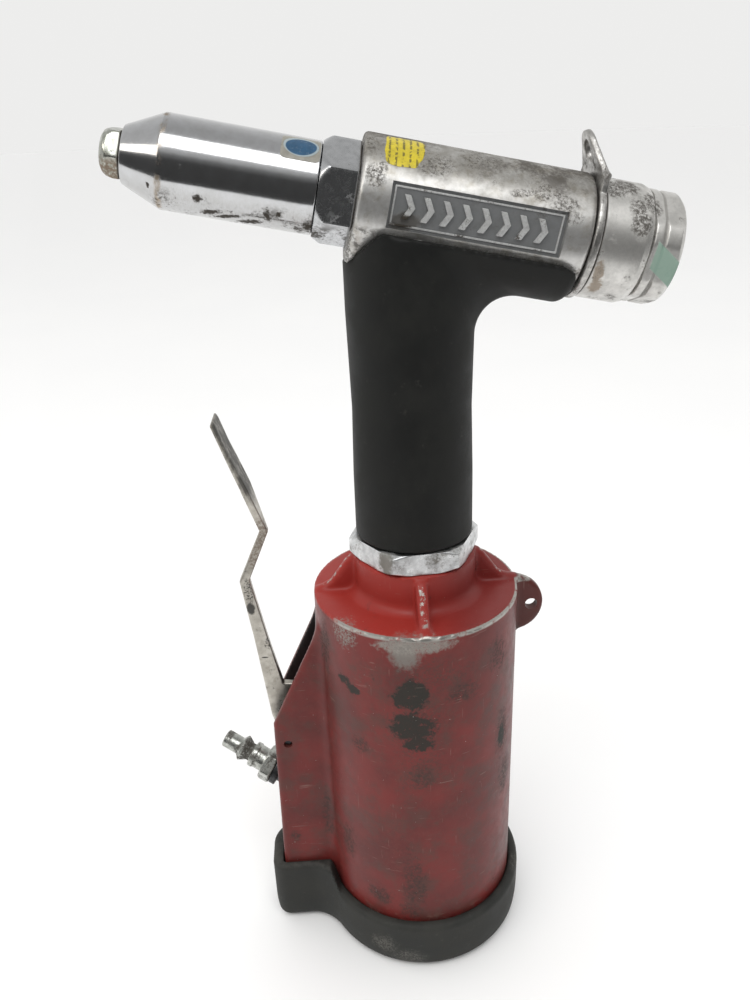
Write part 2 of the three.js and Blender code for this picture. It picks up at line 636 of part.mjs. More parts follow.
place(riveter, 'base_casting', baseCasting(), RED_PAINT);
place(riveter, 'air_piston', airPiston(), BRIGHT_ALUMINIUM);
place(riveter, 'air_piston_seal', ring(33.2, 36.4, 26, 30, ROUND_LARGE), NITRILE);
place(riveter, 'ram_rod', ramRod(), TOOL_STEEL);
place(riveter, 'ram_nut', ramNut(), TOOL_STEEL);
place(riveter, 'base_plate', basePlate(), BRIGHT_ALUMINIUM);
place(riveter, 'base_plate_seal', ring(33.7, 36.4, 10.2, 12.2, ROUND_LARGE), NITRILE);
place(riveter, 'base_snap_ring', snapRing(), SPRING_STEEL);
place(riveter, 'rubber_boot', rubberBoot(), BLACK_RUBBER);

place(riveter, 'trigger_lever', triggerLever(), NICKEL_STEEL);
place(riveter, 'lever_pin', leverPin(), TOOL_STEEL);
place(riveter, 'valve_spool', valveSpool(), BRASS);
place(riveter, 'valve_bush', onValveAxis(ring(2.6, 4.3, 80.5, 86.7, ROUND_SMALL)), BRASS);
place(riveter, 'valve_seal_upper', onValveAxis(ring(3.35, 4.45, 73.4, 75.6, ROUND_SMALL)), NITRILE);
place(riveter, 'valve_seal_lower', onValveAxis(ring(3.35, 4.45, 56.4, 58.6, ROUND_SMALL)), NITRILE);
place(riveter, 'valve_spring', onValveAxis(coil(3.5, 0.45, 15.3, 53.2, 7)), SPRING_STEEL);
place(riveter, 'valve_cap', valveCap(), BRASS);
place(riveter, 'inlet_bushing', inletBushing(), DARK_STEEL);
place(riveter, 'air_plug', airPlug(), NICKEL_STEEL);

export default riveter;
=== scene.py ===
import math
import random
from functools import reduce
from operator import or_

import bmesh
import bpy
import numpy as np
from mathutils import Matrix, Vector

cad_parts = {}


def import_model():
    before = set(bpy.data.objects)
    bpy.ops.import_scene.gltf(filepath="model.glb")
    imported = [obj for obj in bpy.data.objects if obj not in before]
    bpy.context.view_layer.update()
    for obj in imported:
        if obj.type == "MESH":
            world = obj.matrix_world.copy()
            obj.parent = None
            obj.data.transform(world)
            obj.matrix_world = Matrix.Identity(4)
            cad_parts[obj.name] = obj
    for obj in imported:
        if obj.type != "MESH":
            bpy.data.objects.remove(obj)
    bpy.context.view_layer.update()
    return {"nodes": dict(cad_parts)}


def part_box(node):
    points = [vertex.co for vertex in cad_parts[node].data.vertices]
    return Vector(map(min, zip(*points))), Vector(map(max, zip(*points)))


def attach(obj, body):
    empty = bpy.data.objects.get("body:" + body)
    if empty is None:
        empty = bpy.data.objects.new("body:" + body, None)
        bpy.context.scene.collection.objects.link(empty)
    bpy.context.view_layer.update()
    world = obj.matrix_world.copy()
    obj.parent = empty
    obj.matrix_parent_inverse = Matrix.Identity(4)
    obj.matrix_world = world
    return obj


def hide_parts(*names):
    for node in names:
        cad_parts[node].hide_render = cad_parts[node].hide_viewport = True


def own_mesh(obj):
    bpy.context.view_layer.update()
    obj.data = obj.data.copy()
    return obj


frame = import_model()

import openvdb
from mathutils import Matrix, Vector

MM = 0.001


def put(name, data):
    """A new object in the scene."""
    made = bpy.data.objects.new(name, data)
    bpy.context.scene.collection.objects.link(made)
    return made


# ---------------------------------------------------------------- camera
CAMERA_ANGLES = -2.536, 24.837, -2.247          # azimuth, pitch and roll, in degrees
CAMERA_PLACE = -0.02766, -0.29613, 0.34016      # in metres
SENSOR, LENS = 36, 31.18                        # in millimetres


def set_camera():
    """A phone held a little above the tool, looking down at it and turned slightly."""
    azimuth, pitch, roll = (math.radians(angle) for angle in CAMERA_ANGLES)
    forward = Vector((-math.sin(azimuth) * math.cos(pitch),
                      math.cos(azimuth) * math.cos(pitch),
                      -math.sin(pitch)))
    level = Vector((math.cos(azimuth), math.sin(azimuth), 0))
    upright = level.cross(forward)
    right = level * math.cos(roll) + upright * math.sin(roll)
    up = upright * math.cos(roll) - level * math.sin(roll)
    data = bpy.data.cameras.new("camera")
    data.sensor_width, data.lens = SENSOR, LENS
    data.clip_start = 0.01
    camera = put("camera", data)
    camera.matrix_world = (Matrix.Translation(CAMERA_PLACE)
                           @ Matrix((right, up, -forward)).transposed().to_4x4())
    bpy.context.scene.camera = camera


set_camera()


# ---------------------------------------------------------------- the frame's own sizes
HEAD_TILT = math.radians(12)      # the head's axis drops by this towards the rear
HEAD_Z = 308.26                   # where it crosses the handle's axis
COS, SIN = math.cos(HEAD_TILT), math.sin(HEAD_TILT)
# Columns: the local X, Y and Z axes of a piece turned about the head's axis, which are the
# world's +Y, the head's upward axis v and its rearward axis u.
HEAD = Matrix(((0, SIN, COS, 0), (1, 0, 0, 0), (0, COS, -SIN, HEAD_Z), (0, 0, 0, 1)))
UPRIGHT = Matrix.Identity(4)
SIDEWAYS = Matrix.Rotation(math.radians(90), 4, "X")     # its X and Y are the world's X and Z
INLET_SEAT = Vector((-60.1, 4.1, 72.3))
INLET_AXIS = Vector((-0.845, 0.36, 0.395)).normalized()
INLET = Matrix.Translation(INLET_SEAT) @ Vector((0, 0, 1)).rotation_difference(
    INLET_AXIS).to_matrix().to_4x4()


def corners_mm(node):
    """The two corners of a CAD node's box."""
    return [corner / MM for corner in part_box(node)]


def head_point(u, v, y=0.0):
    """The point of the CAD's frame that is u rearward and v up along the head, and y across."""
    return HEAD @ Vector((y, v, u))


def head_axes(x, z):
    """The head's own u and v of points in the CAD's frame."""
    return x * COS - (z - HEAD_Z) * SIN, x * SIN + (z - HEAD_Z) * COS


def reach(node, place):
    """(start, end, radius) of a CAD node along and about the local Z axis of place."""
    back = place.inverted()
    points = [back @ (vertex.co / MM) for vertex in frame["nodes"][node].data.vertices]
    lengths = [p.z for p in points]
    return min(lengths), max(lengths), max(math.hypot(p.x, p.y) for p in points)


DRUM_R = 40.0
CASTING_FOOT = corners_mm("base_casting")[0].z
DRUM_TOP = 166.25
NECK_R = 23.5
NECK_TOP = corners_mm("base_casting")[1].z
HOUSING_HALF = 10.75
PIVOT_X, PIVOT_Z = -55.0, 98.8
PIN_HOLE_R = 1.8
VALVE_X = -46.0


# ---------------------------------------------------------------- meshes
def new_mesh(name, points, faces, sharp=35):
    """A closed mesh in metres from points in millimetres, smooth except over sharp degrees."""
    mesh = bpy.data.meshes.new(name)
    mesh.from_pydata([tuple(c * MM for c in p) for p in points], [], faces)
    return tidy_mesh(mesh, sharp)


def tidy_mesh(mesh, sharp):
    """The mesh welded, its faces turned outwards and smooth except over sharp degrees."""
    shape = bmesh.new()
    shape.from_mesh(mesh)
    bmesh.ops.remove_doubles(shape, verts=shape.verts, dist=1e-6)
    bmesh.ops.recalc_face_normals(shape, faces=shape.faces)
    shape.to_mesh(mesh)
    shape.free()
    mesh.shade_smooth()
    mesh.set_sharp_from_angle(angle=math.radians(sharp))
    return mesh


def rounded(corners, radius, steps=4, closed=True):
    """An outline with each corner replaced by a short curve of about that radius."""
    count = len(corners)
    outline = []
    for i, corner in enumerate(corners):
        if not closed and i in (0, count - 1):
            outline.append(tuple(corner))
            continue
        here = Vector(corner)
        before, after = Vector(corners[i - 1]) - here, Vector(corners[(i + 1) % count]) - here
        half = before.angle(after) / 2
        cut = min(radius / max(math.tan(half), 0.05), 0.45 * before.length, 0.45 * after.length)
        start, end = here + before.normalized() * cut, here + after.normalized() * cut
        for k in range(steps + 1):
            t = k / steps
            outline.append(tuple(start * (1 - t) ** 2 + here * 2 * t * (1 - t) + end * t ** 2))
    return outline


def hexagon_cap(corner_radius, first_corner):
    """A function of angle: how far out a hexagon's side lies."""
    flat = corner_radius * math.cos(math.pi / 6)

    def limit(angle):
        turn = (angle - first_corner) % (math.pi / 3) - math.pi / 6
        return flat / math.cos(turn)
    return limit


def turned(name, profile, place, sides=128, flats=None, soft=0.35, where=None, sharp=35):
    """A profile of (radius, distance) turned about place's Z axis.

    A profile off the axis at both ends closes on itself. flats caps the radius by angle, rounded
    by soft, over the distances in where.
    """
    open_ends = profile[0][0] == 0
    points, rings = [], []
    for radius, distance in profile:
        if radius == 0:
            rings.append([len(points)])
            points.append(place @ Vector((0, 0, distance)))
            continue
        ring = []
        for k in range(sides):
            angle = 2 * math.pi * k / sides
            far = radius
            if flats and (where is None or where[0] <= distance <= where[1]):
                far = soft_min(radius, flats(angle), soft)
            ring.append(len(points))
            points.append(place @ Vector((far * math.cos(angle), far * math.sin(angle), distance)))
        rings.append(ring)
    pairs = list(zip(rings, rings[1:])) + ([] if open_ends else [(rings[-1], rings[0])])
    faces = [face for a, b in pairs for face in band(a, b)]
    return new_mesh(name, points, faces, sharp)


def soft_min(a, b, soft):
    """The smaller of two lengths, with the corner between them rounded over soft."""
    mixed = max(soft - abs(a - b), 0) / soft
    return min(a, b) - mixed * mixed * soft / 4


def band(a, b):
    """Faces between two rings of point numbers, either of which may be a single point."""
    n = max(len(a), len(b))
    if len(a) == 1:
        return [(a[0], b[k], b[(k + 1) % n]) for k in range(n)]
    if len(b) == 1:
        return [(a[k], b[0], a[(k + 1) % n]) for k in range(n)]
    return [(a[k], b[k], b[(k + 1) % n], a[(k + 1) % n]) for k in range(n)]


def finely(profile, step):
    """The profile with extra points so that none are further apart than step."""
    fine = []
    for (r0, d0), (r1, d1) in zip(profile, profile[1:]):
        count = max(1, math.ceil(math.hypot(r1 - r0, d1 - d0) / step))
        fine += [(r0 + (r1 - r0) * k / count, d0 + (d1 - d0) * k / count) for k in range(count)]
    return fine + [profile[-1]]


def prism(name, outline, place, low, high, sharp=35):
    """An outline in place's X and Y, from one distance to another along its Z."""
    count = len(outline)
    points = [place @ Vector((x, y, h)) for h in (low, high) for x, y in outline]
    sides = [(k, (k + 1) % count, (k + 1) % count + count, k + count) for k in range(count)]
    faces = [tuple(range(count)), tuple(range(count, 2 * count))] + sides
    return new_mesh(name, points, faces, sharp)


def rod(radius, low, high, place, sides):
    """A plain cylinder about place's Z, to cut with."""
    return turned("rod", [(0, low), (radius, low), (radius, high), (0, high)], place, sides)


def disc(radius, centre=(0, 0), steps=32):
    """A circle as an outline."""
    angles = (2 * math.pi * k / steps for k in range(steps))
    return [(centre[0] + radius * math.cos(a), centre[1] + radius * math.sin(a)) for a in angles]


# ---------------------------------------------------------------- distance fields
# A field is a function of x, y and z in millimetres that is negative inside the shape.
def fuse(a, b, radius):
    """Both shapes, with a fillet of that radius where they meet."""
    reach_in = np.hypot(np.maximum(radius - a, 0), np.maximum(radius - b, 0))
    return np.maximum(radius, np.minimum(a, b)) - reach_in


def common(a, b, radius):
    """What two shapes share, its new edges rounded to that radius."""
    return -fuse(-a, -b, radius)


def less(a, b, radius):
    """The first shape with the second cut away, its new edges rounded to that radius."""
    return common(a, -b, radius)


def within(value, low, high):
    """A slab: negative where the value is between low and high."""
    return np.maximum(low - value, value - high)


def outline_field(u, w, corners):
    """Distance from a closed outline, negative inside it."""
    nearest, inside = 1e9, False
    for (u0, w0), (u1, w1) in zip(corners, [*corners[1:], corners[0]]):
        du, dw = u1 - u0, w1 - w0
        along = np.clip(((u - u0) * du + (w - w0) * dw) / (du * du + dw * dw), 0, 1)
        nearest = np.minimum(nearest, np.hypot(u - u0 - along * du, w - w0 - along * dw))
        if dw:
            inside = inside ^ (((w0 > w) != (w1 > w)) & (u < du * (w - w0) / dw + u0))
    return np.where(inside, -nearest, nearest)


def rounded_box(x, y, low, high, half, corner):
    """A plan rectangle from low to high in x and to both sides of y = 0, with round corners."""
    out_x = np.abs(x - (low + high) / 2) - (high - low) / 2 + corner
    out_y = np.abs(y) - half + corner
    outside = np.hypot(np.maximum(out_x, 0), np.maximum(out_y, 0))
    return outside + np.minimum(np.maximum(out_x, out_y), 0) - corner


def skin(name, field, low, high, voxel, sharp=40):
    """The surface where a field is zero, as a mesh whose points lie on it."""
    margin = 2.5 * voxel
    axes = [np.arange(a - margin, b + margin + voxel, voxel) for a, b in zip(low, high)]
    values = field(*np.meshgrid(*axes, indexing="ij", sparse=True))
    values = np.broadcast_to(values, [len(a) for a in axes])
    volume = openvdb.FloatGrid(100.0)
    volume.copyFromArray(np.ascontiguousarray(values, dtype=np.float32))
    points, quads = volume.convertToQuads(0.0)
    points = points.astype(float) * voxel + [a[0] for a in axes]
    for _ in range(3):
        points = onto_surface(points, field, voxel)
    mesh = bpy.data.meshes.new(name)
    mesh.from_pydata(points * MM, [], quads.tolist())
    return tidy_mesh(mesh, sharp)


def onto_surface(points, field, voxel):
    """The points moved down the field's slope to where it is zero."""
    step = 0.05
    x, y, z = points.T
    here = field(x, y, z)
    slope = np.stack([
        field(x + step, y, z) - field(x - step, y, z),
        field(x, y + step, z) - field(x, y - step, z),
        field(x, y, z + step) - field(x, y, z - step),
    ]) / (2 * step)
    steep = np.maximum((slope ** 2).sum(axis=0), 0.2)
    return points - np.clip(here / steep, -voxel, voxel)[:, None] * slope.T


def carved(mesh, tools, operation="DIFFERENCE", sharp=40):
    """The mesh with each tool mesh cut away from it, or joined to it."""
    piece = put("carving", mesh)
    cutters = [put("cutter", tool) for tool in tools]
    for cutter in cutters:
        modifier = piece.modifiers.new("cut", "BOOLEAN")
        modifier.object = cutter
        modifier.operation = operation
        modifier.solver = "MANIFOLD"
    graph = bpy.context.evaluated_depsgraph_get()
    result = bpy.data.meshes.new_from_object(piece.evaluated_get(graph))
    result.name = mesh.name
    for spare in (piece, *cutters):
        bpy.data.objects.remove(spare)
    result.materials.clear()
    result.shade_smooth()
    result.set_sharp_from_angle(angle=math.radians(sharp))
    return result


# ---------------------------------------------------------------- materials
class Value:
    """A number that varies over a surface: a node's output that arithmetic can be done with."""

    def __init__(self, finish, socket):
        self.finish, self.socket = finish, socket

    def __add__(self, other):
        return self.finish.math("ADD", self, other)

    def __sub__(self, other):
        return self.finish.math("SUBTRACT", self, other)

    def __rsub__(self, other):
        return self.finish.math("SUBTRACT", other, self)

    def __mul__(self, other):
        return self.finish.math("MULTIPLY", self, other)

    def __or__(self, other):
        """Where either of two masks is set."""
        return self.finish.math("MAXIMUM", self, other)

    def __abs__(self):
        return self.finish.math("ABSOLUTE", self)

    def step(self, low, high, out_low=0.0, out_high=1.0):
        """A smooth step from out_low to out_high as the value goes from low to high."""
        node = self.finish.node("ShaderNodeMapRange", self, low, high, out_low, out_high,
                                interpolation_type="SMOOTHSTEP")
        return Value(self.finish, node.outputs["Result"])


class Finish:
    """A Principled material and the nodes that drive it, with coordinates in millimetres."""

    def __init__(self, name, **uniform):
        self.material = bpy.data.materials.new(name)
        self.material.use_nodes = True
        self.tree = self.material.node_tree
        self.shader = self.tree.nodes["Principled BSDF"]
        for socket, value in uniform.items():
            self.shader.inputs[socket.replace("_", " ")].default_value = value
        coords = self.node("ShaderNodeTexCoord").outputs["Object"]
        self.mm = self.vector("SCALE", coords, scale=1 / MM)
        split = self.node("ShaderNodeSeparateXYZ", self.mm)
        self.position = [Value(self, socket) for socket in split.outputs]

    def node(self, kind, *inputs, **settings):
        node = self.tree.nodes.new(kind)
        for key, value in settings.items():
            setattr(node, key, value)
        for socket, value in zip(node.inputs, inputs):
            self.feed(socket, value)
        return node

    def feed(self, socket, value):
        if isinstance(value, Value):
            value = value.socket
        if isinstance(value, bpy.types.NodeSocket):
            self.tree.links.new(value, socket)
        elif value is not None:
            is_colour = socket.type == "RGBA" and isinstance(value, tuple)
            socket.default_value = (*value, 1) if is_colour else value

    def vector(self, operation, a, b=None, scale=None):
        node = self.node("ShaderNodeVectorMath", a, b, operation=operation)
        if scale is not None:
            node.inputs["Scale"].default_value = scale
        if operation in ("LENGTH", "DOT_PRODUCT"):
            return Value(self, node.outputs["Value"])
        return node.outputs["Vector"]

    def math(self, operation, a, b=None, clamp=False):
        node = self.node("ShaderNodeMath", a, b, operation=operation, use_clamp=clamp)
        return Value(self, node.outputs[0])

    def mix(self, amount, a, b):
        node = self.node("ShaderNodeMix", data_type="RGBA")
        for socket, value in ((0, amount), (6, a), (7, b)):
            self.feed(node.inputs[socket], value)
        return node.outputs[2]

    def layers(self, colour, *coats):
        """A colour with coats over it, each of them (where it shows, its colour)."""
        for shown, coat in coats:
            colour = self.mix(shown, colour, coat)
        return colour

    def blend(self, amount, a, b):
        """What mix does, for plain numbers."""
        node = self.node("ShaderNodeMix", amount, None, a, b, data_type="FLOAT")
        return Value(self, node.outputs[0])

    def noise(self, size, detail=4, rough=0.55, offset=(0, 0, 0), stretch=(1, 1, 1)):
        """Noise from 0 to 1 whose features are about size millimetres."""
        place = self.node("ShaderNodeMapping", self.mm)
        place.inputs["Location"].default_value = offset
        place.inputs["Scale"].default_value = [1 / (size * s) for s in stretch]
        node = self.node("ShaderNodeTexNoise", place.outputs[0], None, 1.0, detail, rough)
        return Value(self, node.outputs["Fac"])

    def grime(self, size=3.0, cover=0.62, offset=(0, 0, 0), softness=0.06):
        """Clumps of dirt: fine specks that only show where a coarser noise lets them."""
        clumps = self.noise(size * 4, 3, 0.6, offset)
        specks = self.noise(size * 0.45, 6, 0.75, (offset[1] + 7, offset[2], offset[0]))
        return (clumps * 0.6 + specks * 0.4).step(cover - softness, cover + softness)

    def spot(self, centre, radii, ragged=0.5, size=4.0, edge=0.25, offset=(0, 0, 0)):
        """1 inside a ragged ellipsoid at centre, 0 outside it."""
        away = self.vector("SUBTRACT", self.mm, tuple(centre))
        far = self.vector("LENGTH", self.vector("DIVIDE", away, tuple(radii)))
        wobble = (self.noise(size, 6, 0.65, offset) - 0.5) * (2 * ragged)
        return (far + wobble).step(1 - edge, 1 + edge, 1.0, 0.0)

    def spots(self, marks, ragged, size, edge, pace, place=lambda *centre: centre):
        """Spots at a list of (centre, radii). Pace gives each of them noise of its own."""
        masks = [self.spot(place(*centre), radii, ragged, size, edge,
                           (pace[0] * k, pace[1] * k, pace[2]))
                 for k, (centre, radii) in enumerate(marks)]
        return reduce(or_, masks)

    def head_space(self):
        """Coordinates along the head: u rearward, v up and y across, in millimetres."""
        place = self.vector("SUBTRACT", self.mm, (0, 0, HEAD_Z))
        u = self.vector("DOT_PRODUCT", place, (COS, 0, -SIN))
        v = self.vector("DOT_PRODUCT", place, (SIN, 0, COS))
        return u, v, self.position[1]

    def surface(self, colour, roughness, metallic=None, height=None, strength=0.3, distance=0.2):
        """Connects what varies over the surface, with the height field as bump."""
        for socket, value in (("Base Color", colour), ("Roughness", roughness),
                              ("Metallic", metallic)):
            self.feed(self.shader.inputs[socket], value)
        if height is not None:
            bump = self.node("ShaderNodeBump")
            bump.inputs["Strength"].default_value = strength
            bump.inputs["Distance"].default_value = distance * MM
            self.feed(bump.inputs["Height"], height)
            self.tree.links.new(bump.outputs[0], self.shader.inputs["Normal"])
        return self.material


GRIME = (0.035, 0.028, 0.02)
# Near black, for painted shade and soot in the valve slot.
SHADE_AND_SOOT = (0.012, 0.012, 0.012)


def chrome():
    """Mirror chrome with dried dirt along its underside, specks and a brown ring at the cone, and
    painted shade that darkens its lower side.
    """
    f = Finish("mirror_chrome", Metallic=1.0)
    u, v, _ = f.head_space()
    marks = f.spots([
        ((-81.2, -6.4, -11.4), (0.5, 3, 0.8)), ((-66, -7.9, -12.3), (1.3, 3, 1.2)),
        ((-44.3, -9.6, -11.1), (1.0, 3, 2.4)), ((-40.8, -8.5, -11.9), (0.9, 3, 1.0)),
        ((-57, -12.2, -8.5), (5.0, 4, 0.6)), ((-49.5, -12.7, -7.5), (3.8, 4, 0.8)),
        ((-31.5, -11, -9.6), (1.3, 4, 1.8)), ((-62, -11.6, -9.2), (3, 4, 0.8)),
    ], 1.6, 1.1, 0.35, (1, 1, 3), head_point)
    specks = f.grime(2.2, 0.57) * v.step(-5, -11)
    dirt = specks | f.grime(1.6, 0.7, (3, 9, 1)) * 0.8 | marks
    junction = abs(u + 78.2).step(1.5, 0.2) * f.noise(3.5, 5).step(0.4, 0.62)
    haze = f.noise(5.0, 5, 0.7, (2, 4, 6))
    streaks = f.noise(1.6, 5, 0.7, (9, 1, 4), (0.25, 1, 1))
    # painted shade: the lower side darkened in streaks, so that it reflects the floor more dimly
    under = v.step(-3, -9) * streaks.step(0.3, 0.65, 0.3, 1.0)
    colour = f.layers(f.mix(haze.step(0.3, 0.75), (0.58, 0.59, 0.605), (0.51, 0.515, 0.52)),
                      (under * 0.4, (0.34, 0.325, 0.3)), (junction * 0.7, (0.28, 0.2, 0.11)),
                      (dirt, GRIME))
    rough = f.blend(junction, f.blend(streaks, 0.07, 0.2), 0.4)
    rough = f.blend(dirt, rough, 0.7)
    return f.surface(colour, rough, 1.0 - dirt * 0.9, f.noise(9, 2) + dirt * 0.6, 0.2, 0.14)


def nut_chrome():
    """The nose lock nut: the same plating, dulled by handling and dirty in its corners."""
    f = Finish("handled_chrome", Metallic=1.0)
    u, v, _ = f.head_space()
    haze = f.noise(2.5, 6, 0.7, (5, 1, 8))
    low = f.grime(2.0, 0.53, (1, 2, 3)) * v.step(-7, -13)
    dirt = low | f.grime(1.5, 0.63, (6, 1, 2)) * 0.85 | u.step(-18.6, -18.0)
    colour = f.mix(haze.step(0.35, 0.7), (0.56, 0.57, 0.585), (0.44, 0.45, 0.46))
    rough = f.blend(dirt, haze.step(0.35, 0.75, 0.18, 0.36), 0.65)
    return f.surface(f.mix(dirt, colour, GRIME), rough, 1.0 - dirt * 0.85, haze, 0.15, 0.12)


def nose_steel():
    """The nosepiece: smooth steel with a greenish varnish and brown dirt low on its face."""
    f = Finish("nose_steel", Metallic=1.0)
    u, v, _ = f.head_space()
    haze = f.noise(1.8, 5, 0.65)
    brown = v.step(0.5, -3.5) * f.noise(1.3, 6, 0.7, (1, 5, 2)).step(0.34, 0.56)
    dirt = f.grime(1.2, 0.62, (2, 2, 5)) | u.step(-92.1, -91.4)
    colour = f.layers(f.mix(haze.step(0.35, 0.7), (0.5, 0.51, 0.47), (0.33, 0.345, 0.3)),
                      (brown * 0.9, (0.19, 0.13, 0.085)), (dirt, GRIME))
    rough = f.blend(brown | dirt, haze.step(0.3, 0.7, 0.16, 0.34), 0.6)
    return f.surface(colour, rough, 1.0 - (dirt | brown * 0.6) * 0.9, haze, 0.25, 0.1)


def cast_aluminium():
    """The head: a worn silver casting, its pits and upper side full of black dirt."""
    f = Finish("worn_cast_aluminium", Metallic=1.0)
    u, v, y = f.head_space()
    haze, grain = f.noise(6, 5, 0.65), f.noise(0.5, 3, 0.6)
    soot = f.grime(3.4, 0.5, (4, 2, 9), 0.09) * v.step(8, 17)
    inset = abs(u - 20.25).step(28.3, 27.9) * abs(v - 0.9).step(7.3, 6.9)
    pocket = abs(y).step(18.0, 17.6) * inset
    corner = f.spot(head_point(-2.5, -3.6, -17.6), (5, 3, 3), 0.6, 3.0)
    stains = f.spots([
        ((-15.5, 17, -9), (2.6, 7, 5)), ((-13.4, 8, -18), (2.6, 4, 4)),
        ((-12, 10.5, -16.5), (2, 5, 2)), ((5, 14, -14), (6, 6, 3)),
        ((20, 17.5, -9), (8, 6, 3)), ((33, 11, -16.5), (4, 4, 1.2)),
        ((42, 12.5, -15.5), (6, 4, 3.5)), ((47.5, 9.5, -17.4), (5, 3, 2.5)),
        ((50, 6.5, -18.7), (3, 3, 2.4)), ((18, 19.5, 3), (9, 9, 4)),
        ((38, 19, 6), (8, 9, 4)), ((-12, 14, 14), (4, 5, 6)), ((28, 6, 19), (8, 4, 4)),
    ], 0.75, 3.2, 0.35, (1, 2, 0), head_point) * f.noise(1.0, 7, 0.8, (8, 3, 1)).step(0.42, 0.6)
    edges = (u.step(56.6, 57.2) | u.step(-17.2, -17.6)) * grain.step(0.4, 0.6)
    ledge = v.step(-6.4, -8.2) * f.noise(2.2, 6, 0.7, (1, 8, 8)).step(0.45, 0.6)
    dirt = (soot | stains | edges | ledge * 0.8 | f.grime(1.6, 0.64, (7, 7, 1)) * 0.8
            | corner * 0.9)
    brown = f.noise(4, 5, 0.7, (9, 9, 2)).step(0.46, 0.72)
    film = v.step(5, 15) * f.noise(7, 6, 0.75, (1, 3, 9)).step(0.3, 0.6, 0.35, 1.0)
    colour = f.layers(f.mix(haze.step(0.3, 0.72), (0.68, 0.675, 0.66), (0.46, 0.455, 0.44)),
                      (brown * 0.6, (0.33, 0.3, 0.245)), (film * 0.6, (0.2, 0.185, 0.15)),
                      (pocket * 0.85, (0.14, 0.148, 0.155)), (dirt * 0.85, GRIME))
    rough = f.blend(dirt, haze.step(0.3, 0.75, 0.32, 0.48), 0.75)
    metal = f.math("SUBTRACT", 0.84 - dirt * 0.76, pocket * 0.45, clamp=True)
    return f.surface(colour, rough, metal, grain * 0.35 + dirt * 0.4, 0.3, 0.16)


def raised_aluminium():
    """The rims and ornament standing up from the side pockets, rubbed bright."""
    f = Finish("rubbed_aluminium", Metallic=1.0)
    haze = f.noise(1.6, 6, 0.7)
    dirt = (f.grime(1.4, 0.6, (2, 6, 2))
            | f.spot(head_point(-2.2, -3.4, -17.6), (4, 3, 2.2), 0.6, 2.0))
    colour = f.mix(haze.step(0.35, 0.7), (0.7, 0.71, 0.7), (0.5, 0.5, 0.5))
    rough = f.blend(dirt, haze.step(0.3, 0.7, 0.36, 0.5), 0.7)
    return f.surface(f.mix(dirt, colour, GRIME), rough, 0.6 - dirt * 0.5, haze, 0.3, 0.1)


def cap_aluminium():
    """The rear cap: brighter metal with black blotches, brown scratches and a teal patch."""
    f = Finish("blotched_aluminium", Metallic=1.0)
    u, v, y = f.head_space()
    haze, grain = f.noise(5, 5, 0.7, (3, 3, 8)), f.noise(0.45, 3, 0.6)
    blotches = f.spots([
        ((63, 16.8, -9.3), (3.4, 4, 5)), ((67.5, 17.8, -7.5), (4.5, 5, 3.5)),
        ((71, 12.9, -14.2), (3, 4, 4)), ((72.3, 8.5, -17.2), (3.4, 3, 5)),
        ((76, 15, -12), (3.4, 4, 4.5)), ((65, 19, 4), (5, 6, 4)), ((73, 16, 11), (5, 5, 4)),
        ((66, -2, 19.4), (5, 4, 6)),
    ], 0.8, 3.4, 0.3, (3, 1, 5), head_point) * f.noise(1.1, 7, 0.78, (4, 4, 4)).step(0.36, 0.56)
    scratches = (f.spot(head_point(62.6, -8.6, -17.2), (1.6, 4, 4.2), 0.9, 1.8)
                 | f.spot(head_point(63.6, -13.2, -13.9), (2, 4, 3.2), 0.9, 1.6))
    groove = abs(u - 81.0).step(0.7, 0.3)
    dirt = (blotches | groove * 0.6 | f.grime(2.2, 0.6, (5, 8, 1)) * 0.85
            | u.step(60.9, 60.3))
    slant = v + (u - 82.0) * 0.6
    teal = abs(slant + 2.0).step(4.6, 4.2) * u.step(78.6, 79.2) * y.step(-8, -9)
    colour = f.layers(f.mix(haze.step(0.3, 0.72), (0.68, 0.67, 0.645), (0.48, 0.475, 0.455)),
                      (scratches * 0.6, (0.3, 0.22, 0.14)), (dirt * 0.92, GRIME),
                      (teal * 0.9, (0.2, 0.31, 0.25)))
    rough = f.blend(dirt | teal | scratches, haze.step(0.3, 0.75, 0.32, 0.48), 0.66)
    return f.surface(colour, rough, 0.85 - (dirt | teal) * 0.8, grain * 0.3 + dirt * 0.4,
                     0.28, 0.15)


def hanger_aluminium():
    """The hanger: stamped sheet, darker on its edge and polished at the tip of its tab."""
    f = Finish("stamped_aluminium", Metallic=1.0)
    _, v, _ = f.head_space()
    haze = f.noise(3, 6, 0.7, (1, 1, 4))
    streaks = f.noise(1.5, 6, 0.75, (2, 7, 7), (1, 1, 5))
    dirt = (streaks.step(0.5, 0.66) | f.grime(1.6, 0.56, (8, 1, 6))) * v.step(30, 22, 0.3, 1.0)
    colour = f.layers(f.mix(haze.step(0.3, 0.7), (0.6, 0.59, 0.57), (0.36, 0.355, 0.34)),
                      (dirt * 0.85, GRIME))
    rough = f.blend(dirt, haze.step(0.3, 0.7, 0.28, 0.42), 0.65)
    return f.surface(colour, rough, 1.0 - dirt * 0.8, streaks, 0.25, 0.12)


def nut_aluminium():
    """The handle's lock nut: bright machined flats, nicked, with oily dirt at one corner."""
    f = Finish("machined_aluminium", Metallic=1.0)
    haze = f.noise(3.4, 5, 0.65, (7, 2, 2))
    lines = f.noise(0.5, 4, 0.6, (0, 0, 0), (14, 14, 1))
    dirt = (f.grime(2.4, 0.58, (3, 1, 7)) | f.spot((-13.0, -20.5, 186.5), (4.2, 3, 5.5), 0.8, 2.6)
            | f.grime(1.0, 0.6, (3, 3, 3)) * 0.8)
    colour = f.layers(f.mix(haze.step(0.3, 0.7), (0.72, 0.73, 0.735), (0.52, 0.53, 0.535)),
                      (dirt * 0.8, (0.09, 0.08, 0.055)))
    rough = f.blend(dirt, haze.step(0.3, 0.7, 0.26, 0.4), 0.6)
    return f.surface(colour, rough, 1.0 - dirt * 0.7, lines * 0.5 + haze * 0.5, 0.25, 0.14)


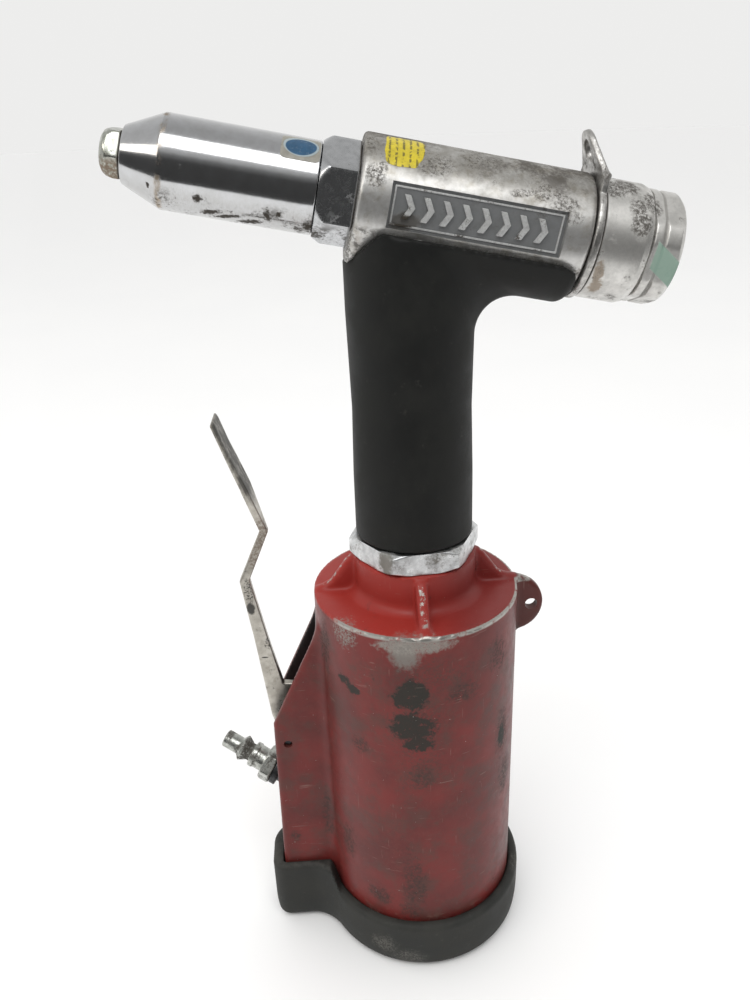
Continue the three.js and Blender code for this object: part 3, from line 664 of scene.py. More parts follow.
def paint_stains(f):
    """Brown smudges all over the red paint, and a sooty halo round its black blotches."""
    stains = f.spots([
        ((-2.4, -39.9, 103), (4.0, 5, 5)), ((-25.1, -31.1, 113), (3.4, 4, 3.5)),
        ((-6, -39.5, 46), (4.5, 5, 13)), ((-32, -24, 57), (3.0, 4, 8)),
        ((-20, -34.5, 36), (6, 5, 4)), ((-8.4, -39.1, 30), (4, 4, 4)),
        ((31, -25, 110), (3.2, 5, 10)), ((33, -22.5, 86), (3, 5, 8)),
        ((-40.5, -12, 60), (2.2, 3, 12)), ((-55.5, -10.8, 48), (2, 2, 3)),
        ((-37, -16, 150), (3, 4, 10)), ((28, -28, 150), (6, 4, 7)), ((12, 38, 120), (9, 5, 12)),
        ((-22, 33, 70), (6, 5, 14)), ((39, 6, 60), (4, 7, 9)), ((-58, 10.8, 60), (5, 2, 8)),
        ((14, -37.5, 140), (7, 4, 4)), ((20, 34, 148), (7, 5, 6)),
    ], 1.3, 2.6, 0.5, (1, 3, 2)) * f.noise(1.3, 7, 0.8, (2, 6, 6)).step(0.36, 0.6)
    halo = (f.spot((-5, -39.7, 132), (11, 6, 20), 1.0, 6.0, 0.5)
            | f.spot((-3, -39.8, 108), (8, 6, 12), 1.2, 5.0, 0.6)
            | f.spot((2, -39.8, 150), (16, 6, 7), 1.2, 5.0, 0.6))
    return stains, halo * f.noise(1.1, 7, 0.8, (5, 0, 3)).step(0.42, 0.62)


def paint_blotches(f):
    """Where the red paint is black."""
    black = f.spots([
        ((-5.0, -39.7, 142), (5.6, 6, 6.6)), ((-9.5, -39, 140), (4.0, 6, 4.0)),
        ((-5.6, -39.6, 127), (8.2, 6, 6.6)), ((-3.5, -39.6, 119), (5.2, 6, 4.0)),
        ((-29.8, -26.7, 141), (2.8, 3.5, 2.0)), ((-26.8, -29.4, 138.6), (2.8, 3.5, 1.9)),
        ((31, -25.5, 109), (1.7, 4, 5.5)), ((36, 17, 133), (3, 5, 6)),
        ((-10, 38.6, 96), (7, 5, 8)),
    ], 0.95, 2.6, 0.2, (2, 1, 6)) | f.grime(3.0, 0.66, (1, 9, 3)) * 0.8
    return black * f.noise(2.6, 6, 0.75, (9, 4, 2)).step(0.31, 0.42)


def paint_wear(f, fine):
    """Masks of the red paint's wear: chalky under the rim, scratched, and bare metal."""
    x, y, z = f.position
    radius = f.vector("LENGTH", f.vector("MULTIPLY", f.mm, (1, 1, 0)))
    rim = radius.step(38.9, 39.3) * (z.step(164.4, 165.3) * z.step(167.2, 166.6))
    rim *= f.noise(4, 5, 0.7, (3, 0, 9)).step(0.36, 0.52) * x.step(-35, -29)
    chalk = (f.spot((-5.5, -39.4, 163.0), (15, 6, 3.0), 0.9, 2.4, 0.3) * fine.step(0.3, 0.5)
             | f.spot((-7.8, -39.2, 159.6), (5.2, 6, 5.6), 0.9, 2.0, 0.5)
             | f.spot((-29, -27, 162), (5, 6, 5), 1.2, 1.6, 0.3) * fine.step(0.42, 0.6))
    drift = f.noise(7, 2, 0.5, (1, 1, 1))
    scratches = (
        f.noise(2.4, 3, 0.6, (4, 7, 2), (6, 6, 0.35)).step(0.64, 0.7) * drift.step(0.5, 0.62)
        | f.noise(2.0, 3, 0.6, (1, 8, 5), (0.3, 0.3, 6)).step(0.66, 0.71) * drift.step(0.52, 0.4))
    crest = f.math("MINIMUM", abs(x), abs(y)).step(1.5, 0.7)
    ribs = z.step(167.5, 169) * (crest * f.noise(2.2, 5, 0.7, (9, 1, 1)).step(0.5, 0.6))
    ribs *= radius.step(24.6, 25.6) * radius.step(37.5, 36)
    nicks = f.noise(0.8, 2, 0.5, (8, 8, 8)).step(0.76, 0.8)
    return chalk, scratches, rim | chalk * 0.3 | ribs | nicks


def red_paint():
    """Old red paint on the base casting: sooty, worn through to metal and black in places. Painted
    light brightens its top face, and painted shade darkens the top's right side, the ear and, with
    soot, the valve slot.
    """
    f = Finish("worn_red_paint", Specular_IOR_Level=0.26)
    x, y, z = f.position
    cloud, mottle = f.noise(22, 4, 0.6, (2, 1, 3)), f.noise(5, 6, 0.7, (6, 2, 1))
    fine = f.noise(0.9, 5, 0.7, (1, 4, 4))
    top = z.step(164.6, 166.0)
    film = f.noise(12, 5, 0.7, (5, 5, 8)).step(0.44, 0.66) * z.step(165, 150)
    stains, halo = paint_stains(f)
    black = paint_blotches(f)
    chalk, scratches, bare = paint_wear(f, fine)
    chalky = f.mix(fine.step(0.35, 0.65), (0.24, 0.24, 0.21), (0.1, 0.1, 0.085))
    chalky = f.mix(z.step(161.5, 157.5), chalky, (0.065, 0.06, 0.05))
    dust = (z - 25.3).step(5, 0) * mottle.step(0.5, 0.62)
    # painted shade and soot: the valve slot's walls made nearly black
    in_slot = abs(y).step(8.2, 7.8) * x.step(-39.8, -40.2) * z.step(86, 88)
    colour = f.layers(
        f.mix(cloud.step(0.3, 0.7), (0.168, 0.0215, 0.019), (0.1, 0.0185, 0.0165)),
        (mottle.step(0.45, 0.75, 0, 0.6), (0.15, 0.034, 0.03)),
        # painted light: the top face a brighter red, as if lit from above
        (top * 0.75, (0.34, 0.03, 0.022)),
        # painted shade: the right side of the top face and neck darker, as if lit from the left
        (top * x.step(-6, 20) * 0.75, (0.15, 0.022, 0.02)),
        # painted shade: the ear darker, as its side away from the light
        (x.step(39.5, 41) * 0.75, (0.075, 0.024, 0.02)),
        (film * 0.55, (0.07, 0.038, 0.031)), (stains * 0.8, (0.04, 0.03, 0.026)),
        (halo * 0.6, (0.045, 0.034, 0.028)), (black * 0.9, (0.02, 0.024, 0.02)),
        (scratches * 0.3, (0.3, 0.2, 0.17)), (chalk * 0.8, chalky),
        (bare, (0.42, 0.41, 0.38)), (dust * 0.3, (0.2, 0.15, 0.12)), (in_slot * 0.93, SHADE_AND_SOOT))
    rough = f.blend(black | stains, mottle.step(0.3, 0.75, 0.33, 0.48), 0.62)
    rough = f.blend(bare, rough, 0.38)
    return f.surface(colour, rough, bare * 0.85, fine * 0.35 - (bare | black) * 0.35, 0.35, 0.2)


def grip_rubber():
    """Soft black rubber with a fine matte texture and a few dusty rubs."""
    f = Finish("black_grip_rubber", Specular_IOR_Level=0.28)
    cloud = f.noise(14, 5, 0.65, (3, 3, 3))
    rub = f.noise(4.5, 6, 0.75, (5, 9, 1)).step(0.6, 0.76) * 0.5
    colour = f.mix(cloud.step(0.35, 0.7), (0.0055, 0.006, 0.0055), (0.0105, 0.011, 0.0095))
    return f.surface(f.mix(rub, colour, (0.045, 0.044, 0.038)), cloud.step(0.3, 0.7, 0.56, 0.7),
                     None, f.noise(0.35, 3, 0.7), 0.3, 0.12)


def boot_rubber():
    """The boot: greyed black rubber, dusty in patches, scuffed low down, and with a painted
    highlight along the top of its lobe's rim.
    """
    f = Finish("dusty_boot_rubber", Specular_IOR_Level=0.3)
    z = f.position[2]
    cloud = f.noise(16, 5, 0.65, (8, 2, 2))
    scuff = f.noise(3.5, 7, 0.78, (2, 2, 9)).step(0.56, 0.72) * 0.7
    chalk = (f.spot((-19.5, -39.5, 12), (5, 6, 4.5), 0.9, 3.0, 0.5)
             | f.spot((42, -12, 21), (4, 7, 4.5), 0.9, 3.0, 0.5)
             | f.spot((-10, -43, 7), (7, 4, 4), 0.9, 2.4, 0.5)
             | f.spot((30, 33, 14), (7, 6, 5), 0.9, 3.0, 0.5))
    chalk *= f.noise(0.9, 6, 0.8, (1, 6, 1)).step(0.4, 0.65)
    # painted highlight: a lighter speckled band along the top of the lobe's rim
    high = f.noise(2.5, 5, 0.7, (6, 1, 0)).step(0.35, 0.65) * z.step(31.6, 33.0)
    colour = f.layers(f.mix(cloud.step(0.32, 0.7), (0.02, 0.021, 0.019), (0.036, 0.036, 0.032)),
                      (scuff * 0.5, (0.08, 0.078, 0.07)), (high * 0.35, (0.08, 0.076, 0.068)),
                      (chalk * 0.55, (0.2, 0.19, 0.17)))
    return f.surface(colour, cloud.step(0.3, 0.7, 0.58, 0.78), None,
                     f.noise(0.6, 4, 0.7) + scuff * 0.5, 0.35, 0.18)


def lever_steel():
    """The trigger lever: dull nickel, smeared black on its arm and rusty at the upper bend."""
    f = Finish("dull_nickel", Metallic=1.0)
    x, _, z = f.position
    haze = f.noise(4, 5, 0.65, (1, 0, 5))
    smear = f.noise(3.0, 7, 0.75, (4, 4, 0), (1, 1, 2.2))
    arm = z.step(203, 212) * z.step(240.5, 238)
    pad_back = (x + z * 0.34).step(9.0, 9.8)
    dark = (
        arm * pad_back * smear.step(0.3, 0.56, 0.3, 0.95) | arm * smear.step(0.42, 0.66) * 0.7
        | f.spot((-65.2, -1.6, 159.7), (1.6, 2, 2.6), 0.5, 1.4)
        | (f.spot((-65.4, -1.6, 167.5), (1.9, 2, 5.5), 0.9, 1.2)
           * f.noise(0.7, 4, 0.7, (3, 3, 3)).step(0.5, 0.58))
        | (f.spot((-60.0, -1.6, 143), (1.4, 2, 2.6), 1.0, 0.8)
           * f.noise(0.8, 4, 0.7, (1, 3, 6)).step(0.48, 0.56))
        | f.spot((-61.7, -1.6, 136.3), (1.4, 2, 0.35), 0.4, 2.0)
        | (f.spot((-56.4, -1.6, 110), (2.6, 2, 6), 0.9, 1.6)
           * f.noise(1.1, 6, 0.8, (2, 3, 5)).step(0.44, 0.6))
        | f.grime(1.4, 0.62, (5, 5, 2)) * 0.8
        | f.spot((-62, 1.6, 171), (2.4, 2, 3.4), 0.8, 1.8))
    film = f.noise(2.2, 6, 0.7, (7, 2, 2)).step(0.46, 0.7) * 0.4
    rust = (f.spot((-58.6, -1.6, 192), (3.4, 3, 7.5), 0.8, 2.0)
            | f.spot((-62.0, -1.6, 182.6), (2.4, 3, 5), 0.8, 1.6)
            | f.spot((-61.5, 1.6, 186), (4, 3, 7), 0.9, 2.4))
    rust *= f.noise(0.9, 6, 0.8, (2, 0, 2)).step(0.36, 0.6)
    colour = f.layers(f.mix(haze.step(0.3, 0.72), (0.54, 0.515, 0.465), (0.43, 0.405, 0.36)),
                      (film, (0.2, 0.175, 0.135)), (rust * 0.8, (0.12, 0.075, 0.045)),
                      (dark * 0.92, (0.026, 0.025, 0.022)))
    stain = dark | rust
    rough = f.blend(stain, haze.step(0.3, 0.7, 0.3, 0.42), 0.55)
    return f.surface(colour, rough, 1.0 - stain * 0.92, haze - stain * 0.3, 0.22, 0.12)


def plated_steel():
    """The air plug: zinc plate, with black dirt packed in its grooves and round its hexagon."""
    f = Finish("zinc_plated_steel", Metallic=1.0)
    away = f.vector("SUBTRACT", f.mm, tuple(INLET_SEAT))
    along = f.vector("DOT_PRODUCT", away, tuple(INLET_AXIS))
    haze = f.noise(1.6, 6, 0.7, (3, 1, 1))
    collar = along.step(14.9, 15.5) * along.step(19.6, 18.6)
    dirt = (collar * haze.step(0.3, 0.5) | along.step(4.2, 3.4) * 0.85
            | f.grime(1.3, 0.55, (4, 2, 2)))
    colour = f.layers(f.mix(haze.step(0.35, 0.7), (0.52, 0.53, 0.5), (0.3, 0.31, 0.285)),
                      (dirt * 0.9, GRIME))
    rough = f.blend(dirt, haze.step(0.3, 0.7, 0.2, 0.34), 0.65)
    return f.surface(colour, rough, 1.0 - dirt * 0.85, haze, 0.25, 0.1)


def machined(name, light, dark, low=0.25, high=0.42):
    """Plain metal with a little oil, for the parts inside. Low and high are its roughness."""
    f = Finish(name, Metallic=1.0)
    haze = f.noise(2.0, 5, 0.65, (2.0, 1, 2))
    oiled = tuple(tone * share for tone, share in zip(dark, (0.3, 0.28, 0.22)))
    colour = f.layers(f.mix(haze.step(0.3, 0.7), light, dark),
                      (f.grime(2.0, 0.62, (2, 2.0, 4)) * 0.6, oiled))
    return f.surface(colour, haze.step(0.3, 0.7, low, high), None, haze, 0.2, 0.1)


def seal_rubber():
    """Black rubber wet with oil, for the seals inside."""
    f = Finish("oiled_seal_rubber")
    haze = f.noise(1.5, 4, 0.6)
    colour = f.mix(haze, (0.008, 0.008, 0.008), (0.02, 0.019, 0.018))
    return f.surface(colour, haze.step(0.3, 0.7, 0.28, 0.5), None, haze, 0.2, 0.08)


def sticker_finish(name, ink, worn, seed, border=None, bars=0.0):
    """A printed label, scuffed and dirty, with plain bars in place of words. A border is
    (its colour, the label's centre, its radii)."""
    f = Finish(name, Specular_IOR_Level=0.4)
    haze = f.noise(3, 5, 0.65, (seed, 0, 1))
    scuff = f.noise(1.0, 7, 0.78, (0, seed, 3)).step(0.54, 0.68)
    colour = f.mix(haze.step(0.3, 0.7), ink, tuple(c * 0.75 for c in ink))
    if bars:
        u, _, _ = f.head_space()
        stripe = abs(f.math("FRACT", f.math("DIVIDE", u, bars)) - 0.5)
        print_left = stripe.step(0.2, 0.14) * f.noise(1.3, 3, 0.6).step(0.44, 0.5)
        colour = f.mix(print_left * 0.75, colour, (0.05, 0.045, 0.02))
    if border:
        rim, centre, radii = border
        away = f.vector("DIVIDE", f.vector("SUBTRACT", f.mm, tuple(centre)), tuple(radii))
        colour = f.mix(f.vector("LENGTH", away).step(0.8, 0.86), colour, rim)
    colour = f.mix(scuff * 0.7, colour, worn)
    return f.surface(colour, haze.step(0.3, 0.7, 0.3, 0.45), None, haze, 0.15, 0.06)


# ---------------------------------------------------------------- pieces
def add(name, mesh, material, slot, *nodes, body="root"):
    """A piece that rides on a body and stands for CAD nodes."""
    piece = put(name, mesh)
    mesh.materials.append(material)
    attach(piece, body)
    if nodes:
        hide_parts(*nodes)
    return piece


def nosepiece():
    front, rear, corner = reach("nosepiece", HEAD)
    shoulder = reach("nose_casing", HEAD)[0] - 0.4
    bore = 1.65
    profile = [(bore, front + 0.5), (bore + 0.5, front), (5.0, front), (6.4, front + 0.8),
               (7.4, front + 2.1), (corner + 0.1, front + 4.3), (corner + 0.1, shoulder),
               (5.9, shoulder), (5.9, rear - 4.0), (3.3, rear - 3.4), (3.3, rear - 0.7),
               (2.6, rear), (bore, rear)]
    mesh = turned("nosepiece_skin", finely(rounded(profile, 0.9), 0.6), HEAD, 192,
                  hexagon_cap(corner, 0.08), 0.7, (front - 1, shoulder + 0.1))
    add("domed_nosepiece", mesh, nose_steel(), "tool_steel", "nosepiece")


def nose_casing():
    front, rear, wide = reach("nose_casing", HEAD)
    cone_end, thread, bore = front + 12.3, wide - 1, 10.4
    nut_face = reach("nose_locknut", HEAD)[0]
    profile = [(6.2, front), (8.9, front), (wide, cone_end), (wide, nut_face - 0.3),
               (thread, nut_face - 0.3), (thread, rear), (bore, rear), (bore, front + 6.9),
               (8.8, front + 4.9), (6.2, front + 4.9)]
    mesh = turned("nose_casing_skin", finely(rounded(profile, 0.5), 4), HEAD, 160)
    add("chrome_nose_casing", mesh, chrome(), "chrome", "nose_casing")


def nose_locknut():
    front, rear, corner = reach("nose_locknut", HEAD)
    bore = reach("nose_casing", HEAD)[2] - 0.7
    profile = [(bore, front), (14.9, front), (corner + 0.2, front + 3.1),
               (corner + 0.2, rear - 0.5), (corner - 0.4, rear), (bore, rear)]
    mesh = turned("nose_locknut_skin", finely(rounded(profile, 0.5), 0.7), HEAD, 240,
                  hexagon_cap(corner, math.pi / 2), 0.8)
    add("chamfered_nose_nut", mesh, nut_chrome(), "chrome", "nose_locknut")


BARREL_R = 19.8
BARREL_FRONT, BARREL_REAR = -17.6, 57.2
POCKET = ((-7.8, 48.3), (-6.1, 7.9))     # the side pocket's extent in u and in v
POCKET_FLOOR = 17.4
LUG = [(-17.6, -4), (-9.5, -4), (-10.3, -9.4), (-17.6, -20)]      # under its front, in u and v


def head_field(x, y, z):
    u, v = head_axes(x, z)
    barrel = common(np.hypot(v, y) - BARREL_R, within(u, BARREL_FRONT, BARREL_REAR), 1.4)
    lug = common(outline_field(u, v, LUG), np.abs(y) - 12, 1.2)
    return fuse(barrel, lug, 3.0)


def head_casting():
    outside = [head_point(u, v, y) for u in (BARREL_FRONT, BARREL_REAR)
               for v in (-BARREL_R - 0.5, BARREL_R) for y in (-BARREL_R, BARREL_R)]
    low = [min(p[k] for p in outside) for k in range(3)]
    high = [max(p[k] for p in outside) for k in range(3)]
    barrel = skin("head_barrel", head_field, low, high, 0.55)
    spigot, core, top = 17.0, 18.3, 299.8
    foot = corners_mm("head_casting")[0].z
    shoulder = corners_mm("grip_sleeve")[0].z + 0.1
    handle = turned("handle_core", rounded([(0, foot), (spigot, foot), (spigot, shoulder),
                                            (core, shoulder), (core, top), (0, top)],
                                           0.4, closed=False), UPRIGHT, 96)
    thread, draw, rear = (13.9, -30, -8.2), (12.2, -9, 10), (15.3, 9.5, 60)
    oil, gland = (7.5, 150, 300), (12.9, 150, 172.3)
    bores = [*(rod(*bore, HEAD, 96) for bore in (thread, draw, rear)),
             *(rod(*bore, UPRIGHT, 64) for bore in (oil, gland)),
             pocket_room(-1), pocket_room(1)]
    mesh = carved(carved(barrel, [handle], "UNION"), bores)
    add("worn_head_casting", mesh, cast_aluminium(), "cast_aluminium", "head_casting")


def pocket_room(side):
    """What is cut away for the pocket on one side of the barrel."""
    low, high = POCKET[1]
    inner, outer = side * POCKET_FLOOR, side * 25
    outline = [(inner, low), (outer, low), (outer, high), (inner, high)]
    return prism("pocket_room", outline, HEAD, *POCKET[0])


def pocket_ornament():
    """A thin rim and a plain row of chevrons in each side pocket, where a maker puts a name."""
    material = raised_aluminium()
    for side, label in ((-1, "left"), (1, "right")):
        shape = bmesh.new()
        add_chevrons(shape, HEAD @ Matrix.Diagonal((side, 1, 1, 1)))
        add_rim(shape, HEAD @ Matrix.Diagonal((side, 1, 1, 1)))
        bmesh.ops.recalc_face_normals(shape, faces=shape.faces)
        sharp = math.radians(52)
        edges = [edge for edge in shape.edges if edge.calc_face_angle(0) > sharp]
        bmesh.ops.bevel(shape, geom=edges, offset=0.28 * MM, segments=2, affect="EDGES",
                        profile=0.6, clamp_overlap=True)
        mesh = bpy.data.meshes.new(f"pocket_ornament_{label}")
        shape.to_mesh(mesh)
        shape.free()
        mesh.shade_smooth()
        mesh.set_sharp_from_angle(angle=math.radians(40))
        add(f"pocket_ornament_{label}", mesh, material, "cast_aluminium")


def add_chevrons(shape, place):
    """Adds a plain row of chevrons on the pocket's floor to a bmesh, in metres."""
    count, pitch, stroke, point, half = 8, 6.1, 2.0, 2.0, 3.7
    first_u, middle = POCKET[0][0] + 4.2, sum(POCKET[1]) / 2
    for k in range(count):
        u = first_u + pitch * k
        outline = [(u, middle - half), (u + stroke, middle - half), (u + stroke + point, middle),
                   (u + stroke, middle + half), (u, middle + half), (u + point, middle)]
        add_block(shape, outline, POCKET_FLOOR - 0.2, POCKET_FLOOR + 1.1, place)


def add_rim(shape, place):
    """Adds a thin rectangular rim just inside the pocket's edge to a bmesh, in metres."""
    (u0, u1), (v0, v1) = POCKET
    inset, thick = 1.0, 0.6
    outlines = [[(u0 + a, v0 + a), (u1 - a, v0 + a), (u1 - a, v1 - a), (u0 + a, v1 - a)]
                for a in (inset, inset + thick)]
    outer_low, outer_high, inner_low, inner_high = (
        [shape.verts.new((place @ Vector((h, v, u))) * MM) for u, v in outline]
        for outline in outlines for h in (POCKET_FLOOR - 0.2, POCKET_FLOOR + 0.45))
    for a, b in ((outer_low, outer_high), (outer_high, inner_high), (inner_high, inner_low),
                 (inner_low, outer_low)):
        for k in range(4):
            shape.faces.new((a[k], a[(k + 1) % 4], b[(k + 1) % 4], b[k]))


def add_block(shape, outline, low, high, place):
    """Adds an outline in u and v, extruded sideways, to a bmesh, in metres."""
    rings = [[shape.verts.new((place @ Vector((h, v, u))) * MM) for u, v in outline]
             for h in (low, high)]
    count = len(outline)
    shape.faces.new(rings[0])
    shape.faces.new(rings[1])
    for k in range(count):
        shape.faces.new((rings[0][k], rings[0][(k + 1) % count],
                         rings[1][(k + 1) % count], rings[1][k]))



def rear_cap():
    front, rear, wide = reach("rear_cap", HEAD)
    bore = 12.8
    profile = [(bore, front), (15, front), (15, front + 3), (13.9, front + 3),
               (13.9, front + 5), (15, front + 5), (15, 60.2), (wide, 60.2), (wide, rear - 13.4),
               (18.8, rear - 11.4), (17.0, rear - 11.2), (17.0, rear - 10.6),
               (18.6, rear - 10.4), (18.6, rear - 7.8), (18.0, rear - 7.4), (18.0, rear - 6.6),
               (18.6, rear - 6.2), (18.6, rear - 1.6), (17.2, rear), (0, rear)]
    outside = rounded(profile, 0.45, closed=False)
    inside = [(0, rear - 8), (bore, rear - 8)]
    flats = hexagon_cap(20.2, math.radians(40))
    mesh = turned("rear_cap_skin", finely([*inside, *outside], 0.8), HEAD, 240, flats, 0.3,
                  (rear - 10.9, rear + 1))
    add("grooved_rear_cap", mesh, cap_aluminium(), "cast_aluminium", "rear_cap")


RING_R, RING_BORE, RING_FRONT, RING_REAR = 20.4, 15.5, 57.5, 59.9
TAB_FOOT, TAB_LEAN = (58.7, 20.3), math.radians(28.4)      # its foot in u and v
TAB_TOP_R, TAB_TOP, EYE_R = 6.3, 7.2, 3.5
TAB_OUTLINE = [(-13, -0.6), (13, -0.6), *(
    (TAB_TOP_R * math.cos(a), TAB_TOP + TAB_TOP_R * math.sin(a))
    for a in (0.35 + k * (math.pi - 0.7) / 14 for k in range(15)))]


def hanger_field(x, y, z):
    u, v = head_axes(x, z)
    around = np.hypot(v, y)
    shoulders = outline_field(y, v, [(-14.5, 10), (14.5, 10), (13, 20.7), (-13, 20.7)])
    plate = np.minimum(around - RING_R, shoulders)
    ring = common(np.maximum(plate, RING_BORE - around), within(u, RING_FRONT, RING_REAR), 0.6)
    du, dv = u - TAB_FOOT[0], v - TAB_FOOT[1]
    up = dv * math.cos(TAB_LEAN) - du * math.sin(TAB_LEAN)
    through = du * math.cos(TAB_LEAN) + dv * math.sin(TAB_LEAN)
    taper = outline_field(y, up, TAB_OUTLINE)
    tab = np.maximum(taper, EYE_R - np.hypot(y, up - TAB_TOP))
    tab = common(tab, np.abs(through) - 1.05, 0.55)
    return fuse(ring, tab, 1.2)


def hanger_ring():
    low, high = corners_mm("hanger_ring")
    mesh = skin("hanger_skin", hanger_field, low, high, 0.45, sharp=50)
    add("pressed_hanger", mesh, hanger_aluminium(), "pressed_aluminium", "hanger_ring")


# The edge of the rubber against the barrel, in u and v, and round all that lies above it.
SEAM = [(-60, -20.6), (-18, -20.6), (-10.6, -9.6), (-8, -8), (50.5, -8.3), (54.6, -9.8),
        (56.6, -12.8), (57, -16), (57, -60), (90, -60), (90, 60), (-60, 60)]
GRIP_HALF = 22.5


def grip_field(x, y, z):
    heights = (190, 215, 240, 262, 275, 300)
    radii = (22.2, 22.1, 21.5, 22.0, 22.3, 22.3)
    foot = corners_mm("grip_sleeve")[0].z
    around = np.hypot(x, y)
    sleeve = common(around - np.interp(z, heights, radii), within(z, foot, 301), 1.4)
    u, v = head_axes(x, z)
    saddle = common(np.hypot(v, y) - 22.6, within(u, -16, 56.9), 3.5)
    inner_corner = 14.0 * np.clip((x - 4) / 12, 0, 1)
    body = fuse(sleeve, saddle, 1.0 + inner_corner * np.clip((22 - np.abs(y)) / 14, 0, 1))
    body = common(body, np.abs(y) - GRIP_HALF, 0.8)
    return less(body, outline_field(u, v, SEAM), 0.7)


def grip_sleeve():
    low, high = corners_mm("grip_sleeve")
    body = skin("grip_skin", grip_field, low, high, 0.8)
    rooms = [
        rod(20.1, -30, 70, HEAD, 128),
        rod(18.6, 150, 310, UPRIGHT, 128),
        lug_room(),
    ]
    add("moulded_grip", carved(body, rooms), grip_rubber(), "grip_rubber", "grip_sleeve")


def lug_room():
    """What is cut from the grip for the lug under the barrel's front."""
    outline = [(-18.6, -4), (-9.9, -4), (-9.9, -9.4), (-17.2, -20.4), (-18.6, -20.8)]
    sideways = HEAD @ Matrix(((0, 0, 1, 0), (0, 1, 0, 0), (1, 0, 0, 0), (0, 0, 0, 1)))
    return prism("lug_room", outline, sideways, -12.35, 12.35)


def handle_locknut():
    low, high = corners_mm("handle_locknut")
    corner = reach("handle_locknut", UPRIGHT)[2]
    bore, face = 17.3, corner - 2.3
    profile = [(bore, low.z), (face, low.z), (corner + 0.2, low.z + 1.5),
               (corner + 0.2, high.z - 1.5), (face, high.z), (bore, high.z)]
    mesh = turned("handle_nut_skin", finely(rounded(profile, 0.35), 0.6), UPRIGHT, 360,
                  hexagon_cap(corner + 0.1, math.radians(5)), 0.5)
    add("hex_handle_nut", mesh, nut_aluminium(), "bright_aluminium", "handle_locknut")


RIB = [(18, 163), (38.6, 163), (38.6, 166.8), (33, 170), (27, 178.5), (25, 180.4), (18, 180.4)]
HOUSING = [(-28, 4.4), (-61.6, 4.4), (-61.4, 39.4), (-60.8, 76.7), (-60.2, 108.7), (-39, 154),
           (-28, 154)]
SLOT = [(-40.3, 87), (-40.3, 175), (-75, 175), (-75, 96), (-58.4, 96), (-58.4, 87)]
CORNER_FILLET = 3.5
EAR_CENTRE, EAR_R = (38.6, 154.5), 12.6      # in x and z
EAR_HOLE, EAR_HOLE_R = (46.4, 154.1), 2.5
HOUSING_CORNER = 8                # rounding of the housing's corner on the air inlet's side


def round_corner(x, y, front, half, radius):
    """The corner on the air inlet's side, at (front, half), rounded to a radius."""
    past = x - front - radius
    quarter = np.hypot(np.minimum(past, 0), np.maximum(y - half + radius, 0)) - radius
    return np.where(past < 0, quarter, -radius)


def casting_field(x, y, z):
    around = np.hypot(x, y)
    drum = common(around - DRUM_R, within(z, CASTING_FOOT, DRUM_TOP), 0.8)
    neck = common(around - NECK_R, within(z, 150, NECK_TOP), 0.6)
    body = fuse(drum, neck, 4.5)
    for across, outward in ((y, np.abs(x)), (x, np.abs(y))):
        rib = common(outline_field(outward, z, RIB), np.abs(across) - 2.2, 1.9)
        body = fuse(body, rib, 1.6)
    ear = np.hypot(x - EAR_CENTRE[0], z - EAR_CENTRE[1]) - EAR_R
    ear = common(ear, np.abs(y) - 2, 1.2)
    body = fuse(body, ear, 2.2)
    housing = common(outline_field(x, z, HOUSING), np.abs(y) - HOUSING_HALF, 1.7)
    housing = np.maximum(housing, round_corner(x, y, -61.7, HOUSING_HALF + 0.1, HOUSING_CORNER))
    body = fuse(body, housing, CORNER_FILLET)
    body = common(body, CASTING_FOOT - z, 0.4)
    slot = np.maximum(outline_field(x, z, SLOT), np.abs(y) - 7.6)
    body = less(body, slot, 0.5)
    away = [p - s for p, s in zip((x, y, z), INLET_SEAT)]
    along = sum(a * b for a, b in zip(away, INLET_AXIS))
    off_axis = np.sqrt(np.maximum(sum(a * a for a in away) - along * along, 0))
    return less(body, np.maximum(off_axis - 9.4, -along), 0.5)


def base_casting():
    low, high = corners_mm("base_casting")
    body = skin("casting_skin", casting_field, low, high, 0.95)
    on_valve = Matrix.Translation((VALVE_X, 0, 0))
    air_bore, air_top = 36.5, 160
    bores = [
        turned("air_bore", [(0, -1), (air_bore, -1), (air_bore, 5.9), (37.9, 5.9), (37.9, 7.9),
                            (air_bore, 7.9), (air_bore, air_top), (0, air_top)], UPRIGHT, 128),
        rod(17.3, 150, 190, UPRIGHT, 96),
        turned("valve_bore", [(0, -1), (6, -1), (6, 15), (4.6, 15), (4.6, 88), (0, 88)],
               on_valve, 48),
        rod(2, VALVE_X, -34, Matrix.Translation((0, 0, 17.2))
            @ Matrix.Rotation(math.radians(90), 4, "Y"), 24),
        prism("ear_hole", disc(EAR_HOLE_R, EAR_HOLE), SIDEWAYS, -8, 8),
        prism("pin_hole", disc(PIN_HOLE_R, (PIVOT_X, PIVOT_Z)), SIDEWAYS, -15, 15),
        rod(5.3, -16, 1, INLET, 48),
    ]
    add("painted_base_casting", carved(body, bores), red_paint(), "red_paint", "base_casting")


BOOT_R = 44.38
LOBE_FRONT, LOBE_HALF = -66.8, 14          # the boot's square lobe, under the valve housing


def lobed_plan(x, y, radius, half, front, corner, blend):
    """The plan of a round boot with a square lobe under the valve housing."""
    return fuse(np.hypot(x, y) - radius, rounded_box(x, y, front, -20, half, corner), blend)


